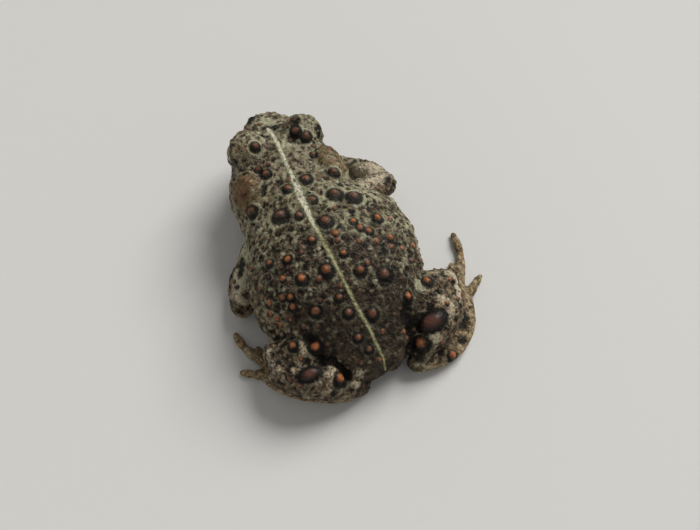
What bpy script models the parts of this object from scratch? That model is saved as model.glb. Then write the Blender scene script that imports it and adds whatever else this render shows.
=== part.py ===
"""A life-size California toad, crouched with its belly on the floor.

The toad faces -Y, its left side is +X and the floor is z = 0. Sizes are in millimetres and
are turned into metres by MM where a mesh is made. The body is one loft of unlike sections,
parted at the neck. The limbs are lofts along bent paths. Each limb piece is cut clear of
what it grows from by GAP, every piece is cut flat where it meets the floor, and the warts
are raised last, each on the piece whose skin it lies on.
"""

import math
import random

import bmesh
import bpy
import numpy as np
from mathutils import Matrix, Vector
from mathutils.bvhtree import BVHTree

MM = 0.001
GAP = 0.32
SNOUT_Y = -42.0
BODY_LENGTH = 81.0
BODY_SIDES = 32
BODY_RINGS = 30
POLE_TURN = 0.15

# Distance from the snout, half width on the left and right, top, widest level and underside.
BODY_STATIONS = [
    (0.0, 0.0, 0.0, 14.6, 14.6, 14.6),
    (1.0, 3.6, 3.6, 17.2, 13.6, 11.2),
    (3.0, 5.6, 5.6, 18.8, 12.8, 9.3),
    (6.0, 7.9, 7.9, 20.0, 11.8, 7.8),
    (10.0, 11.2, 11.2, 21.0, 10.8, 6.6),
    (15.0, 13.8, 13.8, 21.8, 10.0, 5.6),
    (20.0, 15.2, 15.2, 22.5, 9.6, 4.8),
    (25.0, 15.8, 15.5, 23.1, 9.6, 4.0),
    (30.0, 15.9, 16.2, 23.7, 9.8, 3.0),
    (36.0, 16.8, 19.4, 24.6, 10.2, 1.4),
    (43.0, 20.0, 23.8, 25.6, 10.6, -0.7),
    (50.0, 21.7, 24.2, 25.8, 10.4, -1.2),
    (57.0, 22.2, 22.4, 25.0, 9.8, -1.2),
    (64.0, 18.4, 19.4, 22.6, 9.2, -1.0),
    (71.0, 13.2, 15.4, 19.0, 8.4, -0.6),
    (76.0, 9.8, 11.6, 15.4, 7.8, 0.4),
    (79.5, 6.2, 7.2, 11.8, 7.2, 2.4),
    (81.0, 0.0, 0.0, 7.6, 7.6, 7.6),
]
# Distance from the snout and how far the backbone lies to the left there.
SPINE_BEND = [
    (0.0, -0.4),
    (9.0, 0.2),
    (15.0, 0.4),
    (25.0, 1.1),
    (35.0, 1.2),
    (45.0, 0.8),
    (57.0, 0.5),
    (70.0, 0.6),
    (81.0, -0.8),
]
ROUNDNESS_ABOVE = 2.25
ROUNDNESS_BELOW = 2.5

# Features of the head, given for the left side as offset, distance from the snout and level.
EYE_PLACE = (9.3, 13.0, 18.9)
EYE_RADIUS = 3.9
LID_PLACE = (8.2, 13.2, 20.2)
LID_RADII = (4.9, 5.1, 4.0)
LID_TILT = 14.0
LOWER_LID_PLACE = (10.3, 13.0, 15.8)
LOWER_LID_RADII = (2.9, 4.1, 1.3)
PAROTOID_PLACE = (11.4, 26.2, 19.0)
PAROTOID_RADII = (4.5, 6.4, 2.6)
PAROTOID_TILT = 40.0
EARDRUM_PLACE = (14.2, 20.4, 14.2)
EARDRUM_RADII = (0.9, 1.9, 2.0)
NOSTRIL_PLACE = (2.6, 1.9, 17.6)
NOSTRIL_RADIUS = 0.7
# The ridge from the nostril to the lid, as offset, distance, level, half width and half height.
SNOUT_RIDGE = [(2.7, 2.8, 17.0, 1.1, 1.1), (4.8, 5.8, 17.9, 1.4, 1.3), (6.8, 9.4, 18.8, 1.6, 1.6)]
MOUTH_LENGTH = 22.0
MOUTH_LEVEL_FRONT = 11.9
MOUTH_LEVEL_CORNER = 8.2
MOUTH_RADIUS = 0.45
LIP_RADIUS = 0.7
LIP_RISE = 1.0

# The neck is parted by a gap that leans back from the throat to behind the parotoids.
NECK_Y = -7.4
NECK_LEVEL = 19.0
NECK_LEAN = -20.0

# Limb paths from the root outwards, as x, y, z, half width and half height.
LIMBS = {
    "thigh_left": [
        (5.5, 29.0, 9.5, 6.0, 6.2),
        (11.5, 27.3, 9.3, 6.3, 6.1),
        (17.0, 25.5, 8.7, 5.5, 5.5),
        (20.6, 24.8, 8.0, 4.4, 4.8),
    ],
    "thigh_right": [
        (-6.0, 27.5, 9.5, 6.0, 6.2),
        (-13.0, 25.6, 9.2, 6.2, 6.0),
        (-19.5, 24.0, 8.8, 5.4, 5.4),
        (-24.3, 23.6, 8.2, 4.4, 4.8),
    ],
    "shank_left": [
        (21.0, 28.6, 7.4, 4.8, 4.8),
        (17.4, 32.2, 7.8, 5.6, 5.5),
        (12.8, 35.2, 7.0, 5.0, 5.0),
        (8.0, 37.4, 5.2, 3.6, 3.8),
    ],
    "shank_right": [
        (-23.6, 27.0, 7.8, 4.8, 4.8),
        (-20.0, 30.2, 8.0, 5.7, 5.6),
        (-16.2, 33.2, 7.4, 5.3, 5.2),
        (-12.6, 35.8, 5.6, 3.8, 4.0),
    ],
    "upper_arm_left": [(12.0, -8.0, 9.6, 4.0, 4.2), (17.8, -2.4, 7.8, 3.8, 4.0), (23.4, 4.2, 5.0, 3.3, 3.5)],
    "upper_arm_right": [
        (-12.0, -8.6, 9.6, 4.2, 4.4),
        (-18.6, -10.8, 8.4, 4.3, 4.2),
        (-24.6, -12.8, 5.8, 3.4, 3.5),
    ],
    "forearm_left": [(24.2, 5.6, 3.7, 3.1, 3.2), (21.8, -1.2, 3.4, 3.3, 3.2), (19.0, -6.6, 2.3, 2.2, 1.9)],
    "forearm_right": [
        (-25.2, -14.4, 4.0, 3.1, 3.2),
        (-23.4, -19.4, 3.6, 3.3, 3.2),
        (-20.0, -25.0, 2.4, 2.2, 1.9),
    ],
}
# Palms and soles as limb paths. Each digit has a knuckle and a tip, the innermost first.
HANDS = {
    "hand_left": {
        "palm": [(18.4, -7.8, 1.9, 2.2, 1.7), (16.0, -10.2, 1.4, 3.0, 1.5), (13.8, -12.0, 1.0, 2.6, 1.1)],
        "digits": [
            [(11.2, -9.6), (8.8, -8.2)],
            [(10.4, -12.4), (7.0, -12.0)],
            [(11.0, -14.8), (7.8, -16.4)],
            [(12.8, -15.6), (11.4, -18.6)],
        ],
    },
    "hand_right": {
        "palm": [(-19.8, -25.6, 1.9, 2.2, 1.7), (-17.0, -27.4, 1.4, 3.0, 1.5), (-14.8, -28.6, 1.0, 2.6, 1.1)],
        "digits": [
            [(-12.2, -26.2), (-9.8, -24.6)],
            [(-11.2, -28.8), (-7.4, -28.6)],
            [(-11.6, -31.4), (-8.2, -33.0)],
            [(-13.6, -32.0), (-12.4, -34.8)],
        ],
    },
}
FEET = {
    "foot_left": {
        "palm": [
            (5.6, 38.0, 3.0, 2.7, 2.6),
            (11.5, 37.2, 2.6, 2.7, 2.4),
            (17.0, 33.9, 2.0, 3.0, 1.9),
            (21.2, 29.6, 1.4, 3.4, 1.4),
            (23.6, 26.4, 1.1, 3.2, 1.1),
        ],
        "digits": [
            [(20.4, 24.2), (19.2, 22.0)],
            [(22.2, 22.0), (21.2, 19.4)],
            [(24.6, 20.4), (24.8, 17.2)],
            [(26.4, 18.8), (28.0, 15.2), (28.6, 11.4)],
            [(28.0, 23.8), (30.8, 22.0)],
        ],
    },
    "foot_right": {
        "palm": [
            (-10.6, 38.0, 3.0, 2.7, 2.6),
            (-16.4, 38.8, 2.6, 2.7, 2.4),
            (-22.2, 36.8, 2.0, 3.0, 1.9),
            (-26.4, 32.2, 1.6, 3.4, 1.5),
            (-29.0, 27.2, 1.1, 3.2, 1.1),
        ],
        "digits": [
            [(-25.6, 24.0), (-24.8, 21.4)],
            [(-27.8, 21.8), (-28.4, 18.2)],
            [(-30.4, 19.8), (-31.8, 15.4)],
            [(-33.2, 18.0), (-35.7, 12.8), (-36.6, 7.0)],
            [(-34.0, 23.8), (-37.2, 21.6)],
        ],
    },
}
FINGER_RADIUS = 0.95
TOE_RADIUS = 1.15
FINGER_WEB = 0.35
TOE_WEB = 0.75
WEB_FLOOR = 0.2
WEB_TOP = 1.1
LIMB_SIDES = 12
LIMB_RINGS = 9
DIGIT_SIDES = 7
DIGIT_RINGS = 6
JOINT_SWELL = 0.1

# Large warts of the back, as distance from the snout, offset from the backbone and radius.
BACK_WARTS = [
    (24.0, 6.0, 1.2),
    (22.5, -7.5, 1.0),
    (30.5, -2.5, 1.4),
    (31.5, 2.5, 1.2),
    (38.0, 7.5, 1.7),
    (37.5, -1.5, 1.2),
    (38.5, -7.5, 1.6),
    (41.0, 3.5, 1.1),
    (41.0, -11.5, 1.6),
    (45.5, -1.5, 1.5),
    (49.0, -14.0, 1.2),
    (49.0, 4.0, 1.0),
    (50.5, -8.5, 0.9),
    (50.5, 11.0, 1.1),
    (48.5, 15.0, 1.0),
    (55.5, -1.5, 1.0),
    (57.0, 10.0, 1.3),
    (58.0, 4.0, 1.5),
    (60.5, -3.5, 1.3),
    (63.0, -9.0, 1.6),
    (64.5, 3.5, 1.0),
    (65.0, 10.0, 1.3),
    (68.5, 3.0, 1.2),
    (68.5, -13.0, 1.3),
    (70.5, -2.5, 1.4),
    (73.5, 3.0, 1.1),
    (76.5, 2.0, 1.0),
    (75.0, -3.0, 0.9),
]
# Warts on the lids, with their level, since a lid stands above the body.
LID_WARTS = [(13.5, 6.6, 1.1), (11.4, -8.6, 1.3), (14.6, -8.6, 1.2)]
# Glands and large warts of the legs, as x, y, z and radius.
LEG_WARTS = {
    "shank_left": [(16.6, 34.0, 13.1, 2.1), (12.6, 36.2, 11.6, 1.3)],
    "shank_right": [(-15.9, 33.2, 12.8, 2.5), (-12.8, 36.4, 10.8, 1.5)],
    "thigh_left": [(13.0, 25.5, 15.2, 1.3), (18.2, 24.8, 13.6, 1.0)],
    "thigh_right": [(-20.2, 23.4, 13.8, 1.25), (-25.6, 23.6, 12.6, 0.8)],
}
# How many small warts are scattered on each part, and their radii.
SMALL_WARTS = {
    "head": 12,
    "torso": 44,
    "thigh_left": 4,
    "thigh_right": 5,
    "shank_left": 6,
    "shank_right": 6,
    "upper_arm_left": 4,
    "upper_arm_right": 4,
    "forearm_left": 4,
    "forearm_right": 4,
}
SMALL_WART_RADII = (0.5, 0.85)
WART_SPACING = 2.9
TRIES_PER_WART = 40
LOWEST_WART = 3.0
WART_HEIGHT = 0.6
WART_ROOT = 0.6
WART_CLEARANCE = 0.8
# What each limb piece is cut clear of.
CLEARED_BY = {
    "upper_arm_left": ["torso", "head"],
    "upper_arm_right": ["torso", "head"],
    "forearm_left": ["torso", "head", "upper_arm_left"],
    "forearm_right": ["torso", "head", "upper_arm_right"],
    "hand_left": ["torso", "head", "upper_arm_left", "forearm_left"],
    "hand_right": ["torso", "head", "upper_arm_right", "forearm_right"],
    "thigh_left": ["torso"],
    "thigh_right": ["torso"],
    "shank_left": ["torso", "thigh_left"],
    "shank_right": ["torso", "thigh_right"],
    "foot_left": ["torso", "thigh_left", "shank_left"],
    "foot_right": ["torso", "thigh_right", "shank_right"],
}

SKIN_COLOUR = (0.17, 0.15, 0.10, 1.0)
HEAD_COLOUR = (0.19, 0.16, 0.11, 1.0)
LEG_COLOUR = (0.21, 0.17, 0.12, 1.0)
PAW_COLOUR = (0.30, 0.23, 0.15, 1.0)
EYE_COLOUR = (0.10, 0.07, 0.03, 1.0)
SKIN_ROUGHNESS = 0.65
EYE_ROUGHNESS = 0.15


def smooth_columns(knots, places):
    """Every column of the knots, read at the places by a cubic that doesn't overshoot."""
    knots = np.asarray(knots, float)
    stations, values = knots[:, 0], knots[:, 1:]
    steps = np.diff(stations)[:, None]
    rises = np.diff(values, axis=0) / steps
    slopes = np.zeros_like(values)
    before, after = rises[:-1], rises[1:]
    agree = before * after > 0
    total = np.where(agree, before + after, 1.0)
    slopes[1:-1] = np.where(agree, 2 * before * after / total, 0.0)
    slopes[0], slopes[-1] = rises[0], rises[-1]
    index = np.clip(np.searchsorted(stations, places, side="right") - 1, 0, len(steps) - 1)
    step = steps[index]
    u = ((np.asarray(places, float) - stations[index])[:, None]) / step
    start, end = values[index], values[index + 1]
    return (
        start * (1 + 2 * u) * (1 - u) ** 2
        + end * u**2 * (3 - 2 * u)
        + slopes[index] * step * u * (1 - u) ** 2
        - slopes[index + 1] * step * u**2 * (1 - u)
    )


def bent_path(points, count):
    """Rows on a smooth curve through the points, evenly spaced in the curve's own parameter."""
    points = np.asarray(points, float)
    padded = np.vstack([2 * points[0] - points[1], points, 2 * points[-1] - points[-2]])
    places = np.linspace(0, len(points) - 1, count)
    index = np.minimum(places.astype(int), len(points) - 2)
    u = (places - index)[:, None]
    a, b, c, d = (padded[index + k] for k in range(4))
    return 0.5 * (2 * b + (c - a) * u + (2 * a - 5 * b + 4 * c - d) * u**2 + (3 * b - a - 3 * c + d) * u**3)


def path_frames(rows):
    """The directions along, across and up at each row of a path."""
    along = np.gradient(rows[:, :3], axis=0)
    along /= np.linalg.norm(along, axis=1)[:, None]
    across = np.cross(along, (0.0, 0.0, 1.0))
    across /= np.linalg.norm(across, axis=1)[:, None]
    return along, across, np.cross(across, along)


def ellipse(centre, across, up, half_width, half_height, count):
    """A ring of points round an elliptical section."""
    angles = np.arange(count) * 2 * math.pi / count
    return (
        np.asarray(centre)
        + np.outer(np.cos(angles) * half_width, across)
        + np.outer(np.sin(angles) * half_height, up)
    )


def new_object(name, mesh):
    """Turns a bmesh into an object in the toad's collection."""
    bmesh.ops.recalc_face_normals(mesh, faces=mesh.faces)
    data = bpy.data.meshes.new(name)
    mesh.to_mesh(data)
    mesh.free()
    made = bpy.data.objects.new(name, data)
    TOAD.objects.link(made)
    return made


def loft(name, rings, start, end):
    """Joins rings of points into one closed surface, with a pole at each end."""
    mesh = bmesh.new()
    rows = [[mesh.verts.new(Vector(point) * MM) for point in ring] for ring in rings]
    for row, following in zip(rows, rows[1:]):
        for i in range(len(row)):
            j = (i + 1) % len(row)
            mesh.faces.new((row[i], row[j], following[j], following[i]))
    for row, pole in ((rows[0], start), (rows[-1], end)):
        tip = mesh.verts.new(Vector(pole) * MM)
        for i in range(len(row)):
            mesh.faces.new((row[i], row[(i + 1) % len(row)], tip))
    return new_object(name, mesh)


def body_level(place):
    """The body's half widths, top, widest level, underside and bend at a distance from the snout."""
    return (*smooth_columns(BODY_STATIONS, [place])[0], smooth_columns(SPINE_BEND, [place])[0][0])


def body_point(place, side, level):
    """The body's own place, offset to the left and height, as a point of the model."""
    bend = body_level(place)[5]
    slope = body_level(min(place + 0.5, BODY_LENGTH))[5] - body_level(max(place - 0.5, 0.0))[5]
    return Vector((bend + side, SNOUT_Y + place - side * slope, level))


def skin_point(place, angle):
    """The point of the body's skin at a distance from the snout and an angle up from its left."""
    left, right, top, middle, under, _ = body_level(place)
    above = math.sin(angle) >= 0
    power = 2 / (ROUNDNESS_ABOVE if above else ROUNDNESS_BELOW)
    half_width = left if math.cos(angle) >= 0 else right
    reach = abs(math.cos(angle)) ** power * half_width
    rise = abs(math.sin(angle)) ** power * (top - middle if above else under - middle)
    return body_point(place, math.copysign(reach, math.cos(angle)), middle + rise)


def side_angle(place, side):
    """The angle at which the upper skin lies at an offset to the left of the backbone."""
    left, right = body_level(place)[:2]
    share = min(abs(side) / (left if side >= 0 else right), 1.0)
    angle = math.acos(share ** (ROUNDNESS_ABOVE / 2))
    return angle if side >= 0 else math.pi - angle


def body():
    """The whole body, from the snout to the vent."""
    turns = np.linspace(POLE_TURN, math.pi - POLE_TURN, BODY_RINGS)
    angles = np.arange(BODY_SIDES) * 2 * math.pi / BODY_SIDES
    places = [BODY_LENGTH * (1 - math.cos(turn)) / 2 for turn in turns]
    rings = [[skin_point(place, angle) for angle in angles] for place in places]
    ends = [body_point(place, 0.0, body_level(place)[3]) for place in (0.0, BODY_LENGTH)]
    return loft("body", rings, *ends)


def limb(name, points, sides=LIMB_SIDES, count=LIMB_RINGS, swell=0.0):
    """A limb piece along a bent path, with rounded ends and every other ring swollen."""
    rows = bent_path(points, count)
    rows[1::2, 3:] *= 1 + swell
    rows[::2, 3:] *= 1 - swell
    along, across, up = path_frames(rows)
    rings = [ellipse(row[:3], side, rise, row[3], row[4], sides) for row, side, rise in zip(rows, across, up)]
    poles = []
    for end, way in ((0, -1), (-1, 1)):
        reach = way * along[end] * rows[end, 3]
        for turn in (math.radians(35), math.radians(65)):
            centre = rows[end, :3] + reach * math.sin(turn)
            ring = ellipse(centre, across[end], up[end], *(rows[end, 3:] * math.cos(turn)), sides)
            rings.insert(0 if way < 0 else len(rings), ring)
        poles.append(rows[end, :3] + reach)
    return loft(name, rings, *poles)


def ball(name, centre, radii, tilt=0.0, steps=(14, 9)):
    """A squashed ball at a point of the model, tilted about Y by an angle in degrees."""
    mesh = bmesh.new()
    bmesh.ops.create_uvsphere(mesh, u_segments=steps[0], v_segments=steps[1], radius=1.0)
    bmesh.ops.scale(mesh, verts=mesh.verts, vec=Vector(radii) * MM)
    turn = Matrix.Rotation(math.radians(tilt), 4, "Y")
    bmesh.ops.transform(mesh, verts=mesh.verts, matrix=Matrix.Translation(Vector(centre) * MM) @ turn)
    return new_object(name, mesh)


def slab(name, centre, sides):
    """A box about a point of the model."""
    mesh = bmesh.new()
    bmesh.ops.create_cube(mesh, size=1.0)
    bmesh.ops.scale(mesh, verts=mesh.verts, vec=Vector(sides) * MM)
    bmesh.ops.translate(mesh, verts=mesh.verts, vec=Vector(centre) * MM)
    return new_object(name, mesh)


def beyond_neck(way):
    """A box that covers all behind the neck (1) or all ahead of it (-1)."""
    made = slab("beyond_neck", (0, way * (40 - GAP / 2), 0), (90, 80, 90))
    turn = Matrix.Rotation(math.radians(NECK_LEAN), 4, "X")
    made.data.transform(Matrix.Translation(Vector((0, NECK_Y, NECK_LEVEL)) * MM) @ turn)
    return made


def flap(name, corners, bottom, top):
    """A thin flat piece between corners on the floor plan."""
    mesh = bmesh.new()
    for level in (bottom, top):
        for corner in corners:
            mesh.verts.new(Vector((corner[0], corner[1], level)) * MM)
    bmesh.ops.convex_hull(mesh, input=mesh.verts)
    return new_object(name, mesh)


def apply_modifiers(made):
    """Writes what the modifiers make into the object's own mesh."""
    graph = bpy.context.evaluated_depsgraph_get()
    data = bpy.data.meshes.new_from_object(made.evaluated_get(graph))
    made.modifiers.clear()
    made.data = data


def keep_largest(made):
    """Removes all but the largest closed surface of the object."""
    mesh = bmesh.new()
    mesh.from_mesh(made.data)
    waiting, islands = set(mesh.verts), []
    while waiting:
        edge = [waiting.pop()]
        island = set(edge)
        while edge:
            near = {e.other_vert(v) for v in edge for e in v.link_edges} - island
            island |= near
            edge = list(near)
        waiting -= island
        islands.append(island)
    largest = max(islands, key=len)
    loose = [v for v in mesh.verts if v not in largest]
    bmesh.ops.delete(mesh, geom=loose, context="VERTS")
    mesh.to_mesh(made.data)
    mesh.free()


def combine(made, others, operation):
    """Joins the other objects to this one, or cuts them from it, and removes them."""
    operands = bpy.data.collections.new("operands")
    bpy.context.scene.collection.children.link(operands)
    for other in others:
        TOAD.objects.unlink(other)
        operands.objects.link(other)
    modifier = made.modifiers.new("combine", "BOOLEAN")
    modifier.operation = operation
    modifier.solver = "EXACT"
    modifier.operand_type = "COLLECTION"
    modifier.collection = operands
    apply_modifiers(made)
    for other in others:
        bpy.data.objects.remove(other)
    bpy.data.collections.remove(operands)
    keep_largest(made)


def copied(made, name, growth=0.0):
    """A copy of an object, with its surface moved outwards by the growth."""
    mesh = bmesh.new()
    mesh.from_mesh(made.data)
    mesh.normal_update()
    for vertex in mesh.verts:
        vertex.co += vertex.normal * growth * MM
    return new_object(name, mesh)


def mirrored(place, side):
    """A place given for the left side, on the left (1) or the right (-1), on the body."""
    return body_point(place[1], side * place[0], place[2])


def mouth_path(rise, radius):
    """A path round the jaw from one corner of the mouth to the other, raised above its line."""
    path = []
    front_to_back = np.linspace(0.9, MOUTH_LENGTH, 11)
    for side, places in ((1, front_to_back[::-1]), (-1, front_to_back)):
        for place in places:
            left, right, _, middle, under, _ = body_level(place)
            share = place / MOUTH_LENGTH
            level = MOUTH_LEVEL_FRONT + (MOUTH_LEVEL_CORNER - MOUTH_LEVEL_FRONT) * share + rise
            depth = min((middle - level) / (middle - under), 0.98)
            reach = (1 - max(depth, 0.0) ** ROUNDNESS_BELOW) ** (1 / ROUNDNESS_BELOW)
            half_width = left if side > 0 else right
            path.append((*body_point(place, side * reach * half_width, level), radius, radius))
    return path


def head(whole):
    """The body ahead of the neck, with glands, lids, eye sockets, eardrums, nostrils and mouth."""
    made = copied(whole, "head")
    raised = [limb("lip", mouth_path(LIP_RISE, LIP_RADIUS), 6, 28)]
    cuts = [beyond_neck(1), limb("mouth", mouth_path(0.0, MOUTH_RADIUS), 6, 28)]
    socket = EYE_RADIUS + GAP
    for side in (1, -1):
        ridge = [(*mirrored(point[:3], side), *point[3:]) for point in SNOUT_RIDGE]
        raised.append(limb("ridge", ridge, 8, 5))
        raised.append(ball("lid", mirrored(LID_PLACE, side), LID_RADII, side * LID_TILT))
        raised.append(ball("lower_lid", mirrored(LOWER_LID_PLACE, side), LOWER_LID_RADII, steps=(14, 8)))
        raised.append(ball("parotoid", mirrored(PAROTOID_PLACE, side), PAROTOID_RADII, side * PAROTOID_TILT))
        raised.append(ball("eardrum", mirrored(EARDRUM_PLACE, side), EARDRUM_RADII, steps=(12, 8)))
        cuts.append(ball("socket", mirrored(EYE_PLACE, side), (socket,) * 3))
        cuts.append(ball("nostril", mirrored(NOSTRIL_PLACE, side), (NOSTRIL_RADIUS,) * 3, steps=(8, 6)))
    combine(made, raised, "UNION")
    combine(made, cuts, "DIFFERENCE")
    return made


def torso(whole):
    """The part of the body behind the neck."""
    made = copied(whole, "torso")
    combine(made, [beyond_neck(-1)], "DIFFERENCE")
    return made


def paw(name, plan, radius, web):
    """A hand or foot: a flat palm with tapered, jointed digits and a web at their roots."""
    made = limb(name, plan["palm"])
    root = np.array(plan["palm"][-1][:3])
    knuckles = np.array([digit[0] for digit in plan["digits"]])
    edges = root[:2] + (knuckles - root[:2]) * web
    pieces = [flap("web", (root, start, end), WEB_FLOOR, WEB_TOP) for start, end in zip(edges, edges[1:])]
    for digit in plan["digits"]:
        points = [(*root, radius * 1.1, radius)]
        for place, share in zip(digit, np.linspace(1.0, 0.75, len(digit))):
            points.append((*place, radius * share * 0.95, radius * share, radius * share * 0.95))
        pieces.append(limb("digit", points, DIGIT_SIDES, DIGIT_RINGS + len(digit), JOINT_SWELL))
    combine(made, pieces, "UNION")
    return made


def finish(made, colour, roughness):
    """Smooth shading and a plain material of the part's own colour."""
    material = bpy.data.materials.new(made.name)
    material.use_nodes = True
    shader = material.node_tree.nodes["Principled BSDF"]
    shader.inputs["Base Color"].default_value = colour
    shader.inputs["Roughness"].default_value = roughness
    shader.inputs["Metallic"].default_value = 0.0
    made.data.materials.clear()
    made.data.materials.append(material)
    made.data.shade_smooth()
    made.data.set_sharp_from_angle(angle=math.radians(40))


def wart(place, normal, radius):
    """A blunt cone on the skin, with its root sunk in it."""
    axis = Vector(normal).normalized()
    side = axis.orthogonal().normalized()
    up = axis.cross(side)
    sides = 8 if radius > 1.0 else 6
    rings = [
        ellipse(Vector(place) + axis * radius * rise, side, up, radius * share, radius * share, sides)
        for share, rise in ((0.95, -WART_ROOT), (0.9, WART_HEIGHT * 0.3), (0.5, WART_HEIGHT * 0.85))
    ]
    start = Vector(place) - axis * radius * WART_ROOT
    return loft("wart", rings, start, Vector(place) + axis * radius * WART_HEIGHT)


def listed_warts(name):
    """The large warts of a part, as a point near its skin and a radius."""
    if name in LEG_WARTS:
        return [(Vector(row[:3]), row[3]) for row in LEG_WARTS[name]]
    if name == "head":
        places = [(skin_point(row[0], side_angle(row[0], row[1])), row[2]) for row in BACK_WARTS]
        lid_top = LID_PLACE[2] + LID_RADII[2]
        lids = [(body_point(*row[:2], lid_top), row[2]) for row in LID_WARTS]
        return places + lids
    if name == "torso":
        return [(skin_point(row[0], side_angle(row[0], row[1])), row[2]) for row in BACK_WARTS]
    return []


def scattered_warts(made, count, taken):
    """Seeded random points on the upper skin, clear of the listed warts and of each other.

    They are drawn over the part's floor plan and dropped onto its skin, so they don't depend on
    the order of its faces.
    """
    tree = BVHTree.FromObject(made, bpy.context.evaluated_depsgraph_get())
    corners = np.array([vertex.co for vertex in made.data.vertices])
    low, high = corners.min(axis=0), corners.max(axis=0)
    draw = random.Random(made.name)
    found = []
    for _ in range(TRIES_PER_WART * count):
        above = Vector((draw.uniform(low[0], high[0]), draw.uniform(low[1], high[1]), high[2] + MM))
        radius = draw.uniform(*SMALL_WART_RADII)
        place = tree.ray_cast(above, Vector((0, 0, -1)))[0]
        if place is None or place.z < LOWEST_WART * MM:
            continue
        if all((place / MM - other).length > WART_SPACING for other, _ in taken + found):
            found.append((place / MM, radius))
        if len(found) == count:
            break
    return found


def raise_warts(made, others):
    """Raises the warts of a part, leaving out those that would come too near another part."""
    trees = [BVHTree.FromObject(other, bpy.context.evaluated_depsgraph_get()) for other in others]
    own = BVHTree.FromObject(made, bpy.context.evaluated_depsgraph_get())
    listed = listed_warts(made.name)
    domes = []
    for point, radius in listed + scattered_warts(made, SMALL_WARTS.get(made.name, 0), listed):
        place, normal, _, distance = own.find_nearest(point * MM)
        reach = (radius + WART_CLEARANCE) * MM
        near = any(tree.find_nearest(place, reach)[0] for tree in trees)
        if not near and distance < 1.5 * MM:
            domes.append(wart(place / MM, normal, radius))
    if domes:
        combine(made, domes, "UNION")


def part_colour(name):
    """The plain colour of a part, by its name."""
    if name == "head":
        return HEAD_COLOUR
    if name.startswith("eye"):
        return EYE_COLOUR
    if name.startswith(("hand", "foot")):
        return PAW_COLOUR
    return SKIN_COLOUR if name == "torso" else LEG_COLOUR


def clear_scene():
    """Removes every object of the startup scene."""
    for old in list(bpy.data.objects):
        bpy.data.objects.remove(old)


def centre_on_floor(parts):
    """Moves the parts so that the middle of their box is over the origin."""
    corners = np.array([vertex.co for made in parts for vertex in made.data.vertices])
    middle = (corners.min(axis=0) + corners.max(axis=0)) / 2
    for made in parts:
        made.data.transform(Matrix.Translation((-middle[0], -middle[1], 0.0)))


def build():
    """Makes every part of the toad."""
    whole = body()
    parts = {"head": head(whole), "torso": torso(whole)}
    bpy.data.objects.remove(whole)
    for name, points in LIMBS.items():
        parts[name] = limb(name, points)
    for name, plan in HANDS.items():
        parts[name] = paw(name, plan, FINGER_RADIUS, FINGER_WEB)
    for name, plan in FEET.items():
        parts[name] = paw(name, plan, TOE_RADIUS, TOE_WEB)
    uncut = {name: copied(made, name + "_grown", GAP) for name, made in parts.items()}
    for name, neighbours in CLEARED_BY.items():
        cutters = [copied(uncut[near], "cutter") for near in neighbours]
        combine(parts[name], cutters, "DIFFERENCE")
    for helper in uncut.values():
        bpy.data.objects.remove(helper)
    for made in parts.values():
        combine(made, [slab("floor", (0, 0, -20), (200, 200, 40))], "DIFFERENCE")
    for side, label in ((1, "left"), (-1, "right")):
        name = f"eye_{label}"
        parts[name] = ball(name, mirrored(EYE_PLACE, side), (EYE_RADIUS,) * 3)
    for name, made in parts.items():
        raise_warts(made, [other for label, other in parts.items() if label != name])
    for name, made in parts.items():
        finish(made, part_colour(name), EYE_ROUGHNESS if name.startswith("eye") else SKIN_ROUGHNESS)
    centre_on_floor(parts.values())


clear_scene()
TOAD = bpy.data.collections.new("toad")
bpy.context.scene.collection.children.link(TOAD)
build()
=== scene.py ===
"""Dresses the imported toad: one warty skin, two eyes, a pale floor and soft light.

Lengths in this file are in millimetres, in the toad's own frame: the snout is at y = -42,
its left side is +x and the floor is z = 0. They become metres where a mesh is written.
"""

from __future__ import annotations

import logging
import math
from collections.abc import Sequence
from dataclasses import dataclass, field
from enum import Enum

import bpy
import numpy as np
from mathutils import Matrix, Vector
from numpy.typing import NDArray


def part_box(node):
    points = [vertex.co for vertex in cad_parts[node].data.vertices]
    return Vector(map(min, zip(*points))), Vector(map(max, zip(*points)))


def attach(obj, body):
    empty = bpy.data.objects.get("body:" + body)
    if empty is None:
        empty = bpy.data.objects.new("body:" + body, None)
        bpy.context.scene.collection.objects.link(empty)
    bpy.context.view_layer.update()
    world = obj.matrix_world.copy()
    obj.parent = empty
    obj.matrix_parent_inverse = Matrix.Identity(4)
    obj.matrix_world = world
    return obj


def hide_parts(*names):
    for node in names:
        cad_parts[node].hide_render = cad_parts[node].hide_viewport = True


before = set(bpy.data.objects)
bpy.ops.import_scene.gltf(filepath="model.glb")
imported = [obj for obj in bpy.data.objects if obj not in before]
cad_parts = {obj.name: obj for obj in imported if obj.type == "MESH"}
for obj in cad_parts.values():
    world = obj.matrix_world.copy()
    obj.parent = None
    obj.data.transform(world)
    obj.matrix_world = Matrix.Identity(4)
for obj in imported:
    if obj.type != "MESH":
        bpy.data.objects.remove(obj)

log = logging.getLogger("toad")

Points = NDArray[np.float64]
Faces = NDArray[np.int32]
Row = tuple[float, ...]
Edges = NDArray[np.int64]
Masks = dict[str, Points]
Wart = tuple[Points, float, float]

MM = 0.001
SNOUT_Y = -42.0
BODY_LENGTH = 81.0
# Sides of the lattice of random numbers and of the field of grains, after which they repeat.
LATTICE_SIDE = 32
GRAIN_SIDE = 24
# A distance beyond the reach of every mask, and the same in radii of a wart.
FAR = 9.0
OFF_WART = 3.0
# Share of the body's section from which skin starts to be a limb's, and where it is all so.
LIMB_START = 1.04
LIMB_FULL = 1.14
# Turns, in degrees, of the rings that round off the end of a tube.
CAP_TURNS = (20, 40, 58, 74)
# The left eye's gaze, and how far its lids open from it, in degrees and on the eyeball.
GAZE = (0.93, -0.27, 0.24)
OPEN_ACROSS = 58
OPEN_UP = 33
OPEN_DOWN = 36
OPEN_REACH = 2.6


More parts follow.
